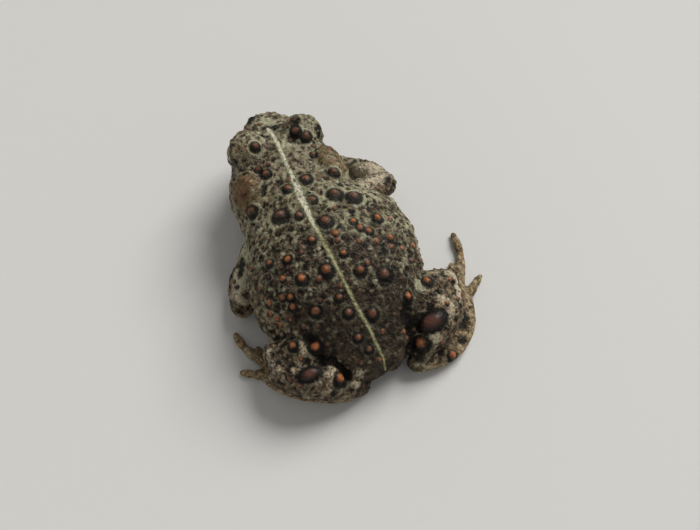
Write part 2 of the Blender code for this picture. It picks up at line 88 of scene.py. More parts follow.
class Side(Enum):
    """A side of the toad, with the sign of its x."""

    LEFT = 1
    RIGHT = -1

    @property
    def label(self) -> str:
        """The ending of the part names on this side."""
        return self.name.lower()


class Mark(Enum):
    """A kind of patch painted on the skin."""

    PALE = "pale"
    # Marks of dark skin, and painted shade in crevices by the hind legs and the right lid.
    BLACK = "black"
    RUST = "rust"


# Curves and noise


def smooth_columns(knots: Sequence[Row], places: Points) -> Points:
    """Reads a table of rows by a cubic that never overshoots.

    Each column is a Hermite cubic between its knots. The slope at a knot is the harmonic
    mean of the rises on both sides, or zero where they differ in sign.

    Args:
        knots: Rows of a station followed by its values.
        places: Stations at which the values are wanted.

    Returns:
        One row of values for each place.
    """
    table = np.asarray(knots, float)
    stations, values = table[:, 0], table[:, 1:]
    steps = np.diff(stations)[:, None]
    rises = np.diff(values, axis=0) / steps
    before, after = rises[:-1], rises[1:]
    agree = before * after > 0
    slopes = np.zeros_like(values)
    slopes[1:-1] = np.where(agree, 2 * before * after / np.where(agree, before + after, 1.0), 0.0)
    slopes[0], slopes[-1] = rises[0], rises[-1]
    index = np.clip(np.searchsorted(stations, places, side="right") - 1, 0, len(steps) - 1)
    step = steps[index]
    u = (np.asarray(places, float) - stations[index])[:, None] / step
    return (
        values[index] * (1 + 2 * u) * (1 - u) ** 2
        + values[index + 1] * u**2 * (3 - 2 * u)
        + slopes[index] * step * u * (1 - u) ** 2
        - slopes[index + 1] * step * u**2 * (1 - u)
    )


def bent_path(points: Sequence[Row], count: int) -> Points:
    """Carries a uniform Catmull-Rom curve through a few points.

    Args:
        points: Rows that the curve passes through.
        count: How many rows to read from it.

    Returns:
        The rows, evenly spaced in the curve's own parameter.
    """
    given = np.asarray(points, float)
    padded = np.vstack([2 * given[0] - given[1], given, 2 * given[-1] - given[-2]])
    places = np.linspace(0, len(given) - 1, count)
    index = np.minimum(places.astype(int), len(given) - 2)
    u = (places - index)[:, None]
    a, b, c, d = (padded[index + k] for k in range(4))
    square = (2 * a - 5 * b + 4 * c - d) * u**2
    cube = (3 * b - a - 3 * c + d) * u**3
    return 0.5 * (2 * b + (c - a) * u + square + cube)


def smoothstep(low: float, high: float, values: Points) -> Points:
    """Rises from 0 at low to 1 at high as 3u squared minus 2u cubed."""
    u = np.clip((values - low) / (high - low), 0.0, 1.0)
    return u * u * (3 - 2 * u)


def bell(values: Points, width: float, middle: float = 0.0) -> Points:
    """A Gaussian: e to the minus square of the distance from the middle over the width."""
    return np.exp(-(((values - middle) / width) ** 2))


def sphere(rings: int, around: int) -> tuple[Points, Points]:
    """Directions on a grid of two angles, without the poles.

    A direction is the sine of the angle from the top times the cosine and the sine of the
    turn, and the cosine of the angle from the top.

    Args:
        rings: Levels from pole to pole, both poles counted.
        around: Points round a level, the first one counted twice.

    Returns:
        The angles from the top and the unit vectors.
    """
    falls = np.linspace(0, math.pi, rings)[1:-1]
    turns = np.linspace(0, math.tau, around)[:-1]
    down, turn = np.meshgrid(falls, turns, indexing="ij")
    flat = np.sin(down)
    return down, np.stack([flat * np.cos(turn), flat * np.sin(turn), np.cos(down)], -1)


def lattice_noise(points: Points, wavelength: Points | float, seed: int) -> Points:
    """Smooth random values in space.

    Random numbers sit on the corners of a cubic lattice and are blended inside each cell
    by a smoothstep along each axis.

    Args:
        points: Places in millimetres.
        wavelength: The lattice's spacing, one number or one for each axis.
        seed: Chooses the random numbers.

    Returns:
        Values from -1 to 1, one for each point.
    """
    table = np.random.RandomState(seed).uniform(-1, 1, (LATTICE_SIDE,) * 3)
    scaled = points / wavelength
    corner = np.floor(scaled).astype(int)
    u = scaled - corner
    u = u * u * (3 - 2 * u)
    total = np.zeros(len(points))
    for bits in range(8):
        step = np.array([bits & 1, bits >> 1 & 1, bits >> 2 & 1])
        share = np.prod(np.where(step, u, 1 - u), axis=1)
        x, y, z = ((corner + step) % LATTICE_SIDE).T
        total += share * table[x, y, z]
    return total


def granules(points: Points, size: float, seed: int) -> tuple[Points, Points]:
    """Cells round points strewn at random in space, like grains packed together.

    Space is cut into cubes with one random point in each. A place looks at its own cube
    and the 26 round it for the nearest and the second nearest of these points.

    Args:
        points: Places in millimetres.
        size: Side of a cube.
        seed: Chooses the random points.

    Returns:
        The gap between the two distances over the size, zero on the border of two cells,
        and a random tone from 0 to 1 for each place's cell.
    """
    table = np.random.RandomState(seed).uniform(0, 1, (GRAIN_SIDE, GRAIN_SIDE, GRAIN_SIDE, 4))
    scaled = points / size
    corner = np.floor(scaled).astype(int)
    nearest = np.full(len(points), FAR)
    second = np.full(len(points), FAR)
    tone = np.zeros(len(points))
    for step in np.ndindex(3, 3, 3):
        cube = corner + step - 1
        row = table[tuple((cube % GRAIN_SIDE).T)]
        away = np.linalg.norm(cube + row[:, :3] - scaled, axis=1)
        closer = away < nearest
        second = np.where(closer, nearest, np.minimum(second, away))
        tone = np.where(closer, row[:, 3], tone)
        nearest = np.where(closer, away, nearest)
    return second - nearest, tone


# Surfaces


@dataclass
class Surface:
    """Points and the faces between them, of three or four corners."""

    points: Points
    faces: Faces

    @classmethod
    def from_rings(cls, rings: Points, start: Points, end: Points) -> Surface:
        """Joins rings of points into a tube, with a pole at each end.

        Args:
            rings: An array of ring, point on the ring and coordinate.
            start: The pole before the first ring.
            end: The pole after the last ring.

        Returns:
            The closed surface.
        """
        count, around = rings.shape[:2]
        points = np.vstack([rings.reshape(-1, 3), start, end])
        here = np.arange(around)
        there = (here + 1) % around
        rows = np.arange(count - 1)[:, None] * around
        a, b = rows + here, rows + there
        c, d = b + around, a + around
        sides = np.concatenate([np.stack([a, b, c], -1), np.stack([a, c, d], -1)]).reshape(-1, 3)
        last = (count - 1) * around
        first_fan = np.stack([there, here, np.full(around, count * around)], -1)
        last_fan = np.stack([last + here, last + there, np.full(around, count * around + 1)], -1)
        return cls(points, np.concatenate([sides, first_fan, last_fan]).astype(np.int32))

    @classmethod
    def joined(cls, parts: Sequence[Surface]) -> Surface:
        """Puts several surfaces into one list of points and faces.

        Args:
            parts: The surfaces.

        Returns:
            One surface of all of them, still crossing one another.
        """
        starts = np.cumsum([0] + [len(part.points) for part in parts[:-1]])
        faces = [part.faces + start for part, start in zip(parts, starts)]
        return cls(np.vstack([part.points for part in parts]), np.concatenate(faces).astype(np.int32))

    @classmethod
    def ball(cls, centre: Points, radii: Row, tilt: float = 0.0) -> Surface:
        """An ellipsoid: sine and cosine of two angles times the radii.

        Args:
            centre: The middle.
            radii: Half sizes along x, y and z before the tilt.
            tilt: Turn about y, in degrees.

        Returns:
            The closed surface.
        """
        unit = sphere(26, 33)[1]
        turn = np.array(Matrix.Rotation(math.radians(tilt), 3, "Y"))
        poles = np.array([[0, 0, radii[2]], [0, 0, -radii[2]]]) @ turn.T + centre
        return cls.from_rings((unit * radii) @ turn.T + centre, poles[0], poles[1])

    @classmethod
    def tube(
        cls, path: Sequence[Row], around: int = 20, count: int = 24, swell: float = 0.0
    ) -> Surface:
        """Carries an ellipse along a bent path and rounds off both ends.

        The ellipse's half width and half height come with the path. The ends are quarter
        circles in profile, and a swelling of two waves makes the knuckles of a digit.

        Args:
            path: Rows of x, y, z, half width and half height.
            around: Points round the tube.
            count: Rings along it.
            swell: Height of the knuckles as a share of the radius.

        Returns:
            The closed surface.
        """
        rows = bent_path(path, count)
        rows[:, 3:] *= 1 + swell * np.cos(np.linspace(0, 5 * math.pi, count))[:, None]
        along = np.gradient(rows[:, :3], axis=0)
        along /= np.linalg.norm(along, axis=1)[:, None]
        turns = np.radians(CAP_TURNS)
        caps = len(turns)
        head = np.repeat(rows[:1], caps, axis=0)
        tail = np.repeat(rows[-1:], caps, axis=0)
        head[:, :3] -= np.outer(np.sin(turns[::-1]) * rows[0, 3], along[0])
        tail[:, :3] += np.outer(np.sin(turns) * rows[-1, 3], along[-1])
        head[:, 3:] *= np.cos(turns[::-1])[:, None]
        tail[:, 3:] *= np.cos(turns)[:, None]
        poles = rows[0, :3] - along[0] * rows[0, 3], rows[-1, :3] + along[-1] * rows[-1, 3]
        first, last = np.repeat(along[:1], caps, axis=0), np.repeat(along[-1:], caps, axis=0)
        along = np.vstack([first, along, last])
        rows = np.vstack([head, rows, tail])
        across = np.cross(along, (0.0, 0.0, 1.0))
        across /= np.linalg.norm(across, axis=1)[:, None]
        up = np.cross(across, along)
        angles = np.arange(around) * math.tau / around
        rings = (
            rows[:, None, :3]
            + (rows[:, 3, None] * np.cos(angles))[..., None] * across[:, None]
            + (rows[:, 4, None] * np.sin(angles))[..., None] * up[:, None]
        )
        return cls.from_rings(rings, *poles)

    @classmethod
    def flap(cls, corners: Sequence[Row], bottom: float, top: float) -> Surface:
        """A thin three-cornered sheet with closed edges.

        Args:
            corners: Three floor points, in turn.
            bottom: Level of its underside.
            top: Level of its upper side.

        Returns:
            The closed surface.
        """
        low = [(*corner[:2], bottom) for corner in corners]
        high = [(*corner[:2], top) for corner in corners]
        faces = [(0, 2, 1), (3, 4, 5)]
        for a, b in ((0, 1), (1, 2), (2, 0)):
            faces += [(a, b, b + 3), (a, b + 3, a + 3)]
        return cls(np.array(low + high, float), np.array(faces, np.int32))

    def mesh(self, name: str, shift: Points) -> bpy.types.Mesh:
        """Writes the arrays into a mesh in metres.

        Args:
            name: The mesh's name.
            shift: What is added to each point first, in millimetres.

        Returns:
            The mesh.
        """
        data = bpy.data.meshes.new(name)
        data.vertices.add(len(self.points))
        data.vertices.foreach_set("co", ((self.points + shift) * MM).astype(np.float32).ravel())
        data.loops.add(self.faces.size)
        data.loops.foreach_set("vertex_index", self.faces.ravel())
        data.polygons.add(len(self.faces))
        starts = np.arange(0, self.faces.size, self.faces.shape[1], dtype=np.int32)
        data.polygons.foreach_set("loop_start", starts)
        data.update(calc_edges=True)
        return data


def new_piece(name: str, data: bpy.types.ID) -> bpy.types.Object:
    """Links a mesh, a light or a camera into the scene as an object at the origin.

    Args:
        name: The object's name.
        data: What it shows.

    Returns:
        The object.
    """
    piece = bpy.data.objects.new(name, data)
    bpy.context.scene.collection.objects.link(piece)
    return piece


def dress(data: bpy.types.Mesh, masks: Masks, material: bpy.types.Material) -> None:
    """Stores masks on a mesh as attributes of its points, smooths it and paints it.

    Args:
        data: The mesh.
        masks: One value for each point under each name.
        material: The mesh's only material.
    """
    for name, values in masks.items():
        attribute = data.attributes.new(name, "FLOAT", "POINT")
        attribute.data.foreach_set("value", values.astype(np.float32))
    data.shade_smooth()
    data.materials.append(material)


# The toad's forms


@dataclass(frozen=True)
class BodyForm:
    """The trunk and head as one loft of unlike sections."""

    # Distance from the snout, half widths left and right, and the levels of the top, of the
    # widest place and of the underside.
    stations: tuple[Row, ...] = (
        (0.0, 0.0, 0.0, 14.6, 14.6, 14.6),
        (1.0, 3.6, 3.6, 17.2, 13.6, 11.2),
        (3.0, 5.6, 5.6, 18.8, 12.8, 9.3),
        (6.0, 7.9, 7.9, 20.0, 11.8, 7.8),
        (10.0, 11.2, 11.2, 21.0, 10.8, 6.6),
        (15.0, 13.8, 13.8, 21.8, 10.0, 5.6),
        (20.0, 15.2, 15.2, 22.5, 9.6, 4.8),
        (25.0, 15.8, 15.5, 23.1, 9.6, 4.0),
        (30.0, 15.9, 16.2, 23.7, 9.8, 3.0),
        (36.0, 16.8, 19.4, 24.6, 10.2, 1.4),
        (43.0, 20.0, 23.8, 25.6, 10.6, -0.7),
        (50.0, 21.7, 24.2, 25.8, 10.4, -1.2),
        (57.0, 22.2, 22.4, 25.0, 9.8, -1.2),
        (64.0, 18.4, 19.4, 22.6, 9.2, -1.0),
        (71.0, 13.2, 15.4, 19.0, 8.4, -0.6),
        (76.0, 9.8, 11.6, 15.4, 7.8, 0.4),
        (79.5, 6.2, 7.2, 11.8, 7.2, 2.4),
        (81.0, 0.0, 0.0, 7.6, 7.6, 7.6),
    )
    # Distance from the snout and the backbone's offset to the left.
    bend: tuple[Row, ...] = (
        (0.0, -0.4),
        (9.0, 0.2),
        (15.0, 0.4),
        (25.0, 1.1),
        (35.0, 1.2),
        (45.0, 0.8),
        (57.0, 0.5),
        (70.0, 0.6),
        (81.0, -0.8),
    )
    roundness_above: float = 2.25
    roundness_below: float = 2.5
    rings: int = 72
    around: int = 72

    def place(self, along: Points | float, side: Points | float, level: Points | float) -> Points:
        """Turns places on the body into points of the frame.

        Args:
            along: Distance from the snout.
            side: Offset to the left of the backbone.
            level: Height above the floor.

        Returns:
            The points, with the backbone's bend and the turn of its sections added.
        """
        along, side, level = np.broadcast_arrays(*(np.asarray(v, float) for v in (along, side, level)))
        flat = along.ravel()
        bend = smooth_columns(self.bend, flat)[:, 0].reshape(along.shape)
        after = smooth_columns(self.bend, np.minimum(flat + 0.5, BODY_LENGTH))[:, 0]
        before = smooth_columns(self.bend, np.maximum(flat - 0.5, 0.0))[:, 0]
        slope = (after - before).reshape(along.shape)
        return np.stack([bend + side, SNOUT_Y + along - side * slope, level], axis=-1)

    def surface_point(self, along: Points | float, angle: Points | float) -> Points:
        """The skin of the body at a distance from the snout and an angle up from its left.

        The section is a superellipse: the half width times a power of the cosine and the
        half height times a power of the sine, with a squarer power under the widest level.

        Args:
            along: Distance from the snout.
            angle: Turn about the backbone.

        Returns:
            The points on the skin.
        """
        along, angle = np.broadcast_arrays(np.asarray(along, float), np.asarray(angle, float))
        levels = smooth_columns(self.stations, along.ravel()).reshape(*along.shape, 5)
        left, right, top, middle, under = np.moveaxis(levels, -1, 0)
        above = np.sin(angle) >= 0
        power = 2 / np.where(above, self.roundness_above, self.roundness_below)
        width = np.where(np.cos(angle) >= 0, left, right)
        height = np.where(above, top - middle, middle - under)
        side = np.sign(np.cos(angle)) * np.abs(np.cos(angle)) ** power * width
        rise = np.sign(np.sin(angle)) * np.abs(np.sin(angle)) ** power * height
        return self.place(along, side, middle + rise)

    def top_point(self, along: float, side: float) -> Points:
        """The upper skin at a distance from the snout and an offset from the backbone.

        Args:
            along: Distance from the snout.
            side: Offset to the left of the backbone.

        Returns:
            The point on the skin.
        """
        left, right = smooth_columns(self.stations, np.array([along]))[0, :2]
        share = min(abs(side) / (left if side >= 0 else right), 1.0)
        angle = math.acos(share ** (self.roundness_above / 2))
        return self.surface_point(along, angle if side >= 0 else math.pi - angle)

    def own_places(self, points: Points) -> tuple[Points, Points]:
        """The distance from the snout and the offset from the backbone of each point."""
        along = np.clip(points[:, 1] - SNOUT_Y, 0, BODY_LENGTH)
        return along, points[:, 0] - smooth_columns(self.bend, along)[:, 0]

    def outside(self, points: Points) -> Points:
        """How far out each point lies, as a share of the section there, 1 on the skin.

        Args:
            points: Places in this file's frame.

        Returns:
            The shares, below 1 inside the body.
        """
        along, side = self.own_places(points)
        left, right, top, middle, under = smooth_columns(self.stations, along).T
        width = np.maximum(np.where(side >= 0, left, right), 0.5)
        rise = points[:, 2] - middle
        height = np.maximum(np.where(rise >= 0, top - middle, middle - under), 0.5)
        power = np.where(rise >= 0, self.roundness_above, self.roundness_below)
        return (np.abs(side / width) ** power + np.abs(rise / height) ** power) ** (1 / power)

    def surface(self) -> Surface:
        """The loft of all sections, closed at the snout and the vent.

        Returns:
            The closed surface.
        """
        turns = np.linspace(0.1, math.pi - 0.1, self.rings)
        along = BODY_LENGTH * (1 - np.cos(turns)) / 2
        angles = np.arange(self.around) * math.tau / self.around
        rings = self.surface_point(along[:, None], angles[None, :])
        ends = smooth_columns(self.stations, np.array([0.0, BODY_LENGTH]))[:, 3]
        start, end = self.place(np.array([0.0, BODY_LENGTH]), 0.0, ends)
        return Surface.from_rings(rings, start, end)


@dataclass(frozen=True)
class HeadForm:
    """The raised forms of the head, given for the left side of the body.

    A place is the offset from the backbone, the distance from the snout and the level.
    """

    eye: Row = (9.3, 13.0, 18.9)
    eye_radius: float = 3.9
    orbit_radius: float = 4.4
    lid: Row = (7.6, 13.2, 20.1)
    lid_radii: Row = (4.6, 5.4, 4.0)
    lid_tilt: float = 14.0
    lower_lid: Row = (10.3, 13.0, 15.8)
    lower_lid_radii: Row = (2.9, 4.1, 1.3)
    parotoid: Row = (11.4, 26.2, 19.0)
    parotoid_radii: Row = (4.5, 6.4, 2.6)
    parotoid_tilt: float = 40.0
    eardrum: Row = (14.2, 20.4, 14.2)
    eardrum_radius: float = 1.9
    nostril: Row = (2.6, 1.9, 17.6)
    ridge: tuple[Row, ...] = (
        (2.7, 2.8, 17.0, 1.1, 1.1),
        (4.8, 5.8, 17.9, 1.4, 1.3),
        (6.8, 9.4, 18.8, 1.6, 1.6),
    )
    lid_thickness: float = 0.55
    lid_rim: float = 0.22
    socket_depth: float = 0.7
    mouth_length: float = 22.0
    mouth_front: float = 11.9
    mouth_corner: float = 8.2
    # Height, distance from the line and width of a lip, depth and width of the groove, and
    # strength and width of the painted shade in the groove.
    lip: Row = (0.35, 1.25, 0.6)
    groove: Row = (0.7, 0.5)
    groove_dark: Row = (0.9, 0.42)
    # The same of a nostril's rim and pit, and the width of the painted shade in the pit.
    nostril_rim: Row = (0.22, 1.2, 0.45)
    nostril_pit: Row = (0.6, 0.6)
    nostril_dark: float = 0.65
    # Height of an eardrum's rim, its distance and width over the radius, and the disc's depth.
    eardrum_rim: Row = (0.3, 1.1, 0.25)
    eardrum_depth: float = 0.25
    # Heights over the eyeball between which the shaping of the lids fades out.
    lid_fade: Row = (1.5, 4.5)
    # Depths inside the lids' opening, below zero outside it: between the first two the skin
    # sinks under the eyeball, between the second two the lid takes its thickness.
    lid_edge: Row = (-0.28, 0.3)
    lid_span: Row = (-2.6, -0.5)
    # Depth and width of the rim's crest and of its dark line, painted shade by the eyeball.
    lid_crest: Row = (-0.6, 0.4)
    lid_dark: Row = (-0.35, 0.45)

    def at(self, body: BodyForm, place: Row, side: Side) -> Points:
        """A place of the left side as a point on the given side."""
        return body.place(place[1], side.value * place[0], place[2])

    def mouth_line(self, body: BodyForm) -> Points:
        """Points round the jaw from one corner of the mouth to the other.

        At each distance from the snout the level falls evenly from the front to the
        corner, and the offset is where the body's lower section has that level.

        Args:
            body: The body that carries the head.

        Returns:
            The points, from the left corner to the right one.
        """
        along = np.linspace(0.4, self.mouth_length, 70)
        left, right, _, middle, under = smooth_columns(body.stations, along).T
        level = self.mouth_front + (self.mouth_corner - self.mouth_front) * along / self.mouth_length
        depth = np.clip((middle - level) / (middle - under), 0.0, 0.98)
        reach = (1 - depth**body.roundness_below) ** (1 / body.roundness_below)
        lines = []
        for side in Side:
            width = left if side is Side.LEFT else right
            lines.append(body.place(along, side.value * reach * width, level))
        return np.vstack([lines[0][::-1], lines[1]])

    def surfaces(self, body: BodyForm) -> list[Surface]:
        """The glands, lids, orbits and snout ridges of both sides.

        Args:
            body: The body that carries the head.

        Returns:
            Closed surfaces that stand out of the body.
        """
        made = []
        for side in Side:
            sign = side.value
            ridge = [(*self.at(body, row[:3], side), *row[3:]) for row in self.ridge]
            made += [
                Surface.tube(ridge, 14, 16),
                Surface.ball(self.at(body, self.eye, side), (self.orbit_radius,) * 3),
                Surface.ball(self.at(body, self.lid, side), self.lid_radii, sign * self.lid_tilt),
                Surface.ball(self.at(body, self.lower_lid, side), self.lower_lid_radii),
                Surface.ball(
                    self.at(body, self.parotoid, side), self.parotoid_radii, sign * self.parotoid_tilt
                ),
            ]
        return made


@dataclass(frozen=True)
class LimbForm:
    """A limb piece along a bent path of x, y, z, half width and half height."""

    name: str
    path: tuple[Row, ...]

    def surface(self) -> Surface:
        """The limb as a tube with rounded ends."""
        return Surface.tube(self.path, 28, 30)


@dataclass(frozen=True)
class PawForm:
    """A hand or foot: a palm, digits from it and webs between them."""

    name: str
    palm: tuple[Row, ...]
    digits: tuple[tuple[Row, ...], ...]
    radius: float
    web: float

    def surfaces(self) -> list[Surface]:
        """The palm, the knuckled digits and the webs.

        Returns:
            Closed surfaces that cross one another.
        """
        root = np.array(self.palm[-1][:3])
        made = [Surface.tube(self.palm, 24, 24)]
        for digit in self.digits:
            path = [(*root, self.radius * 1.1, self.radius)]
            for place, share in zip(digit, np.linspace(1.0, 0.75, len(digit))):
                size = self.radius * share
                path.append((*place, size * 0.95, size, size * 0.95))
            made.append(Surface.tube(path, 16, 34, 0.15))
        knuckles = np.array([digit[0] for digit in self.digits])
        edges = root[:2] + (knuckles - root[:2]) * self.web
        made += [Surface.flap((root, a, b), 0.2, 1.1) for a, b in zip(edges, edges[1:])]
        return made


LIMBS = (
    LimbForm(
        "thigh_left",
        (
            (5.5, 29.0, 9.5, 6.0, 6.2), (11.5, 27.3, 9.3, 6.3, 6.1), (17.0, 25.5, 8.7, 5.5, 5.5),
            (20.6, 24.8, 8.0, 4.4, 4.8),
        ),
    ),
    LimbForm(
        "thigh_right",
        (
            (-6.0, 27.5, 9.5, 6.0, 6.2), (-13.0, 25.6, 9.2, 6.2, 6.0), (-19.5, 24.0, 8.8, 5.4, 5.4),
            (-24.3, 23.6, 8.2, 4.4, 4.8),
        ),
    ),
    LimbForm(
        "shank_left",
        (
            (21.0, 28.6, 7.4, 4.8, 4.8), (17.4, 32.2, 7.8, 5.6, 5.5), (12.8, 35.2, 7.0, 5.0, 5.0),
            (8.0, 37.4, 5.2, 3.6, 3.8),
        ),
    ),
    LimbForm(
        "shank_right",
        (
            (-23.6, 27.0, 7.8, 4.8, 4.8), (-20.0, 30.2, 8.0, 5.7, 5.6),
            (-16.2, 33.2, 7.4, 5.3, 5.2), (-12.6, 35.8, 5.6, 3.8, 4.0),
        ),
    ),
    LimbForm(
        "upper_arm_left",
        ((12.0, -8.0, 9.6, 4.0, 4.2), (17.8, -2.4, 7.8, 3.8, 4.0), (23.4, 4.2, 5.0, 3.3, 3.5)),
    ),
    LimbForm(
        "upper_arm_right",
        (
            (-12.0, -8.6, 9.6, 4.2, 4.4), (-18.6, -10.8, 8.4, 4.3, 4.2),
            (-24.6, -12.8, 5.8, 3.4, 3.5),
        ),
    ),
    LimbForm(
        "forearm_left",
        ((24.2, 5.6, 3.7, 3.1, 3.2), (21.8, -1.2, 3.4, 3.3, 3.2), (19.0, -6.6, 2.3, 2.2, 1.9)),
    ),
    LimbForm(
        "forearm_right",
        (
            (-25.2, -14.4, 4.0, 3.1, 3.2), (-23.4, -19.4, 3.6, 3.3, 3.2),
            (-20.0, -25.0, 2.4, 2.2, 1.9),
        ),
    ),
)
PAWS = (
    PawForm(
        "hand_left",
        ((18.4, -7.8, 1.9, 2.2, 1.7), (16.0, -10.2, 1.4, 3.0, 1.5), (13.8, -12.0, 1.0, 2.6, 1.1)),
        (
            ((11.2, -9.6), (8.8, -8.2)), ((10.4, -12.4), (7.0, -12.0)),
            ((11.0, -14.8), (7.8, -16.4)), ((12.8, -15.6), (11.4, -18.6)),
        ),
        0.95,
        0.35,
    ),
    PawForm(
        "hand_right",
        (
            (-19.8, -25.6, 1.9, 2.2, 1.7), (-17.0, -27.4, 1.4, 3.0, 1.5),
            (-14.8, -28.6, 1.0, 2.6, 1.1),
        ),
        (
            ((-12.2, -26.2), (-9.8, -24.6)), ((-11.2, -28.8), (-7.4, -28.6)),
            ((-11.6, -31.4), (-8.2, -33.0)), ((-13.6, -32.0), (-12.4, -34.8)),
        ),
        0.95,
        0.35,
    ),
    PawForm(
        "foot_left",
        (
            (5.6, 38.0, 3.0, 2.7, 2.6), (11.5, 37.2, 2.6, 2.7, 2.4), (17.0, 33.9, 2.0, 3.0, 1.9),
            (21.2, 29.6, 1.4, 3.4, 1.4), (23.6, 26.4, 1.1, 3.2, 1.1),
        ),
        (
            ((20.4, 24.2), (19.2, 22.0)),
            ((22.2, 22.0), (21.2, 19.4)),
            ((24.6, 20.4), (24.8, 17.2)),
            ((26.4, 18.8), (28.0, 15.2), (28.6, 11.4)),
            ((28.0, 23.8), (30.8, 22.0)),
        ),
        1.15,
        0.75,
    ),
    PawForm(
        "foot_right",
        (
            (-10.6, 38.0, 3.0, 2.7, 2.6), (-16.4, 38.8, 2.6, 2.7, 2.4),
            (-22.2, 36.8, 2.0, 3.0, 1.9), (-26.4, 32.2, 1.6, 3.4, 1.5),
            (-29.0, 27.2, 1.1, 3.2, 1.1),
        ),
        (
            ((-25.6, 24.0), (-24.8, 21.4)),
            ((-27.8, 21.8), (-28.4, 18.2)),
            ((-30.4, 19.8), (-31.8, 15.4)),
            ((-33.2, 18.0), (-35.7, 12.8), (-36.6, 7.0)),
            ((-34.0, 23.8), (-37.2, 21.6)),
        ),
        1.15,
        0.75,
    ),
)


# Warts and patches


@dataclass(frozen=True)
class WartPlan:
    """Where the large warts stand and how the small ones are scattered."""

    # Distance from the snout, offset to the left, radius and how orange the tip is.
    back: tuple[Row, ...] = (
        (22.5, -7.5, 1.0, 0.3),
        (19.0, -8.5, 0.8, 0.2),
        (24.0, 6.0, 1.2, 0.3),
        (22.0, 7.0, 1.0, 0.1),
        (29.0, 1.5, 0.8, 0.2),
        (31.5, 2.5, 1.2, 0.3),
        (30.5, -2.5, 1.4, 0.3),
        (38.0, 7.5, 1.7, 0.1),
        (37.5, -1.5, 1.2, 0.25),
        (38.5, -7.5, 1.6, 0.2),
        (41.0, 3.5, 1.1, 0.3),
        (41.0, -11.5, 1.6, 0.1),
        (45.5, -1.5, 1.5, 0.3),
        (43.0, -5.0, 0.8, 0.3),
        (49.0, -14.0, 1.2, 0.9),
        (50.0, -17.0, 0.8, 0.5),
        (48.0, -7.5, 1.0, 0.8),
        (50.5, -8.5, 1.0, 0.7),
        (52.0, -10.0, 1.0, 0.9),
        (54.0, -6.5, 0.8, 0.3),
        (55.0, -10.5, 0.8, 0.6),
        (57.5, -16.5, 0.8, 0.6),
        (56.5, -20.0, 0.8, 0.8),
        (57.0, -13.5, 0.7, 0.4),
        (45.5, 19.0, 0.8, 0.4),
        (48.5, 19.5, 0.8, 0.5),
        (52.0, 19.5, 0.7, 0.5),
        (54.5, 20.0, 0.7, 0.5),
        (57.5, 19.0, 0.8, 0.8),
        (59.5, 19.5, 0.8, 0.7),
        (61.0, 18.5, 0.8, 0.7),
        (62.5, 18.0, 0.8, 0.8),
        (58.5, 16.0, 0.9, 0.4),
        (59.5, 14.0, 1.0, 0.6),
        (61.5, 14.5, 1.0, 0.5),
        (50.0, -2.0, 0.9, 0.8),
        (52.0, -1.5, 0.8, 0.3),
        (55.5, -1.5, 1.0, 0.6),
        (55.0, -14.5, 0.9, 0.7),
        (49.0, 4.0, 1.0, 0.7),
        (50.5, 11.0, 1.1, 0.7),
        (48.5, 15.0, 1.0, 0.4),
        (54.5, 14.0, 0.9, 0.7),
        (57.0, 10.0, 1.3, 0.8),
        (58.0, 4.0, 1.5, 0.5),
        (59.0, 6.5, 0.9, 0.3),
        (60.5, -3.5, 1.3, 0.4),
        (59.5, -6.0, 0.8, 0.3),
        (63.0, -9.0, 1.6, 0.1),
        (64.5, 3.5, 1.0, 0.3),
        (65.0, 10.0, 1.3, 0.4),
        (68.5, 3.0, 1.2, 0.2),
        (70.5, -2.5, 1.4, 0.2),
        (68.5, -13.0, 1.3, 1.0),
        (73.5, 3.0, 1.1, 0.3),
        (76.5, 2.0, 1.0, 0.2),
        (75.0, -3.0, 0.8, 0.3),
    )
    # Point near the skin, radius and how orange the tip is; below zero is pale.
    elsewhere: tuple[Row, ...] = (
        (6.5, -26.5, 23.5, 1.2, 0.05),
        (-5.0, -27.0, 23.5, 1.3, 0.15),
        (-7.0, -24.5, 23.0, 1.3, 0.1),
        (14.0, -10.0, 20.0, 1.4, 0.1),
        (-9.0, -11.5, 22.0, 1.2, 0.1),
        (-19.5, 23.5, 14.5, 1.25, 0.7),
        (-25.5, 24.5, 13.0, 0.75, 0.6),
        (-21.5, 30.5, 13.5, 0.7, 0.5),
        (-11.5, 36.5, 10.0, 1.7, 0.5),
        (-16.5, 38.0, 9.5, 0.8, 0.3),
        (-19.0, 40.5, 4.0, 1.3, 0.8),
        (18.0, 26.0, 14.0, 1.1, 0.6),
        (13.5, 29.0, 15.0, 1.4, 1.0),
        (10.5, 37.5, 11.0, 1.4, 0.7),
        (-32.5, 17.5, 2.0, 0.9, -0.6),
        (-36.5, 9.5, 2.0, 0.8, -0.6),
        (-30.0, 21.0, 2.4, 0.8, -0.6),
        (27.5, 17.0, 2.0, 0.8, -0.6),
        (-34.5, 23.0, 1.8, 0.8, -0.6),
        (-30.0, 27.0, 2.2, 0.9, -0.6),
        (-28.5, 31.5, 2.5, 0.9, -0.6),
    )
    # Point near the skin and half length.
    glands: tuple[Row, ...] = ((17.0, 34.5, 13.5, 2.1), (-15.5, 33.5, 13.5, 3.0))
    small_count: int = 430
    small_radii: tuple[float, float] = (0.35, 0.8)
    small_tones: Row = (-0.6, 0.0, 0.2, 0.5)
    small_odds: Row = (0.45, 0.30, 0.17, 0.08)
    small_gap: float = 0.55
    lowest: float = 3.5
    tries: int = 6000
    seed: int = 11
    # Height as a share of the radius, and the dome's width and steepness.
    height: float = 0.6
    dome_width: float = 0.75
    dome_power: float = 2.4
    gland_height: float = 0.4
    gland_stretch: Row = (1.4, 0.85, 1.0)


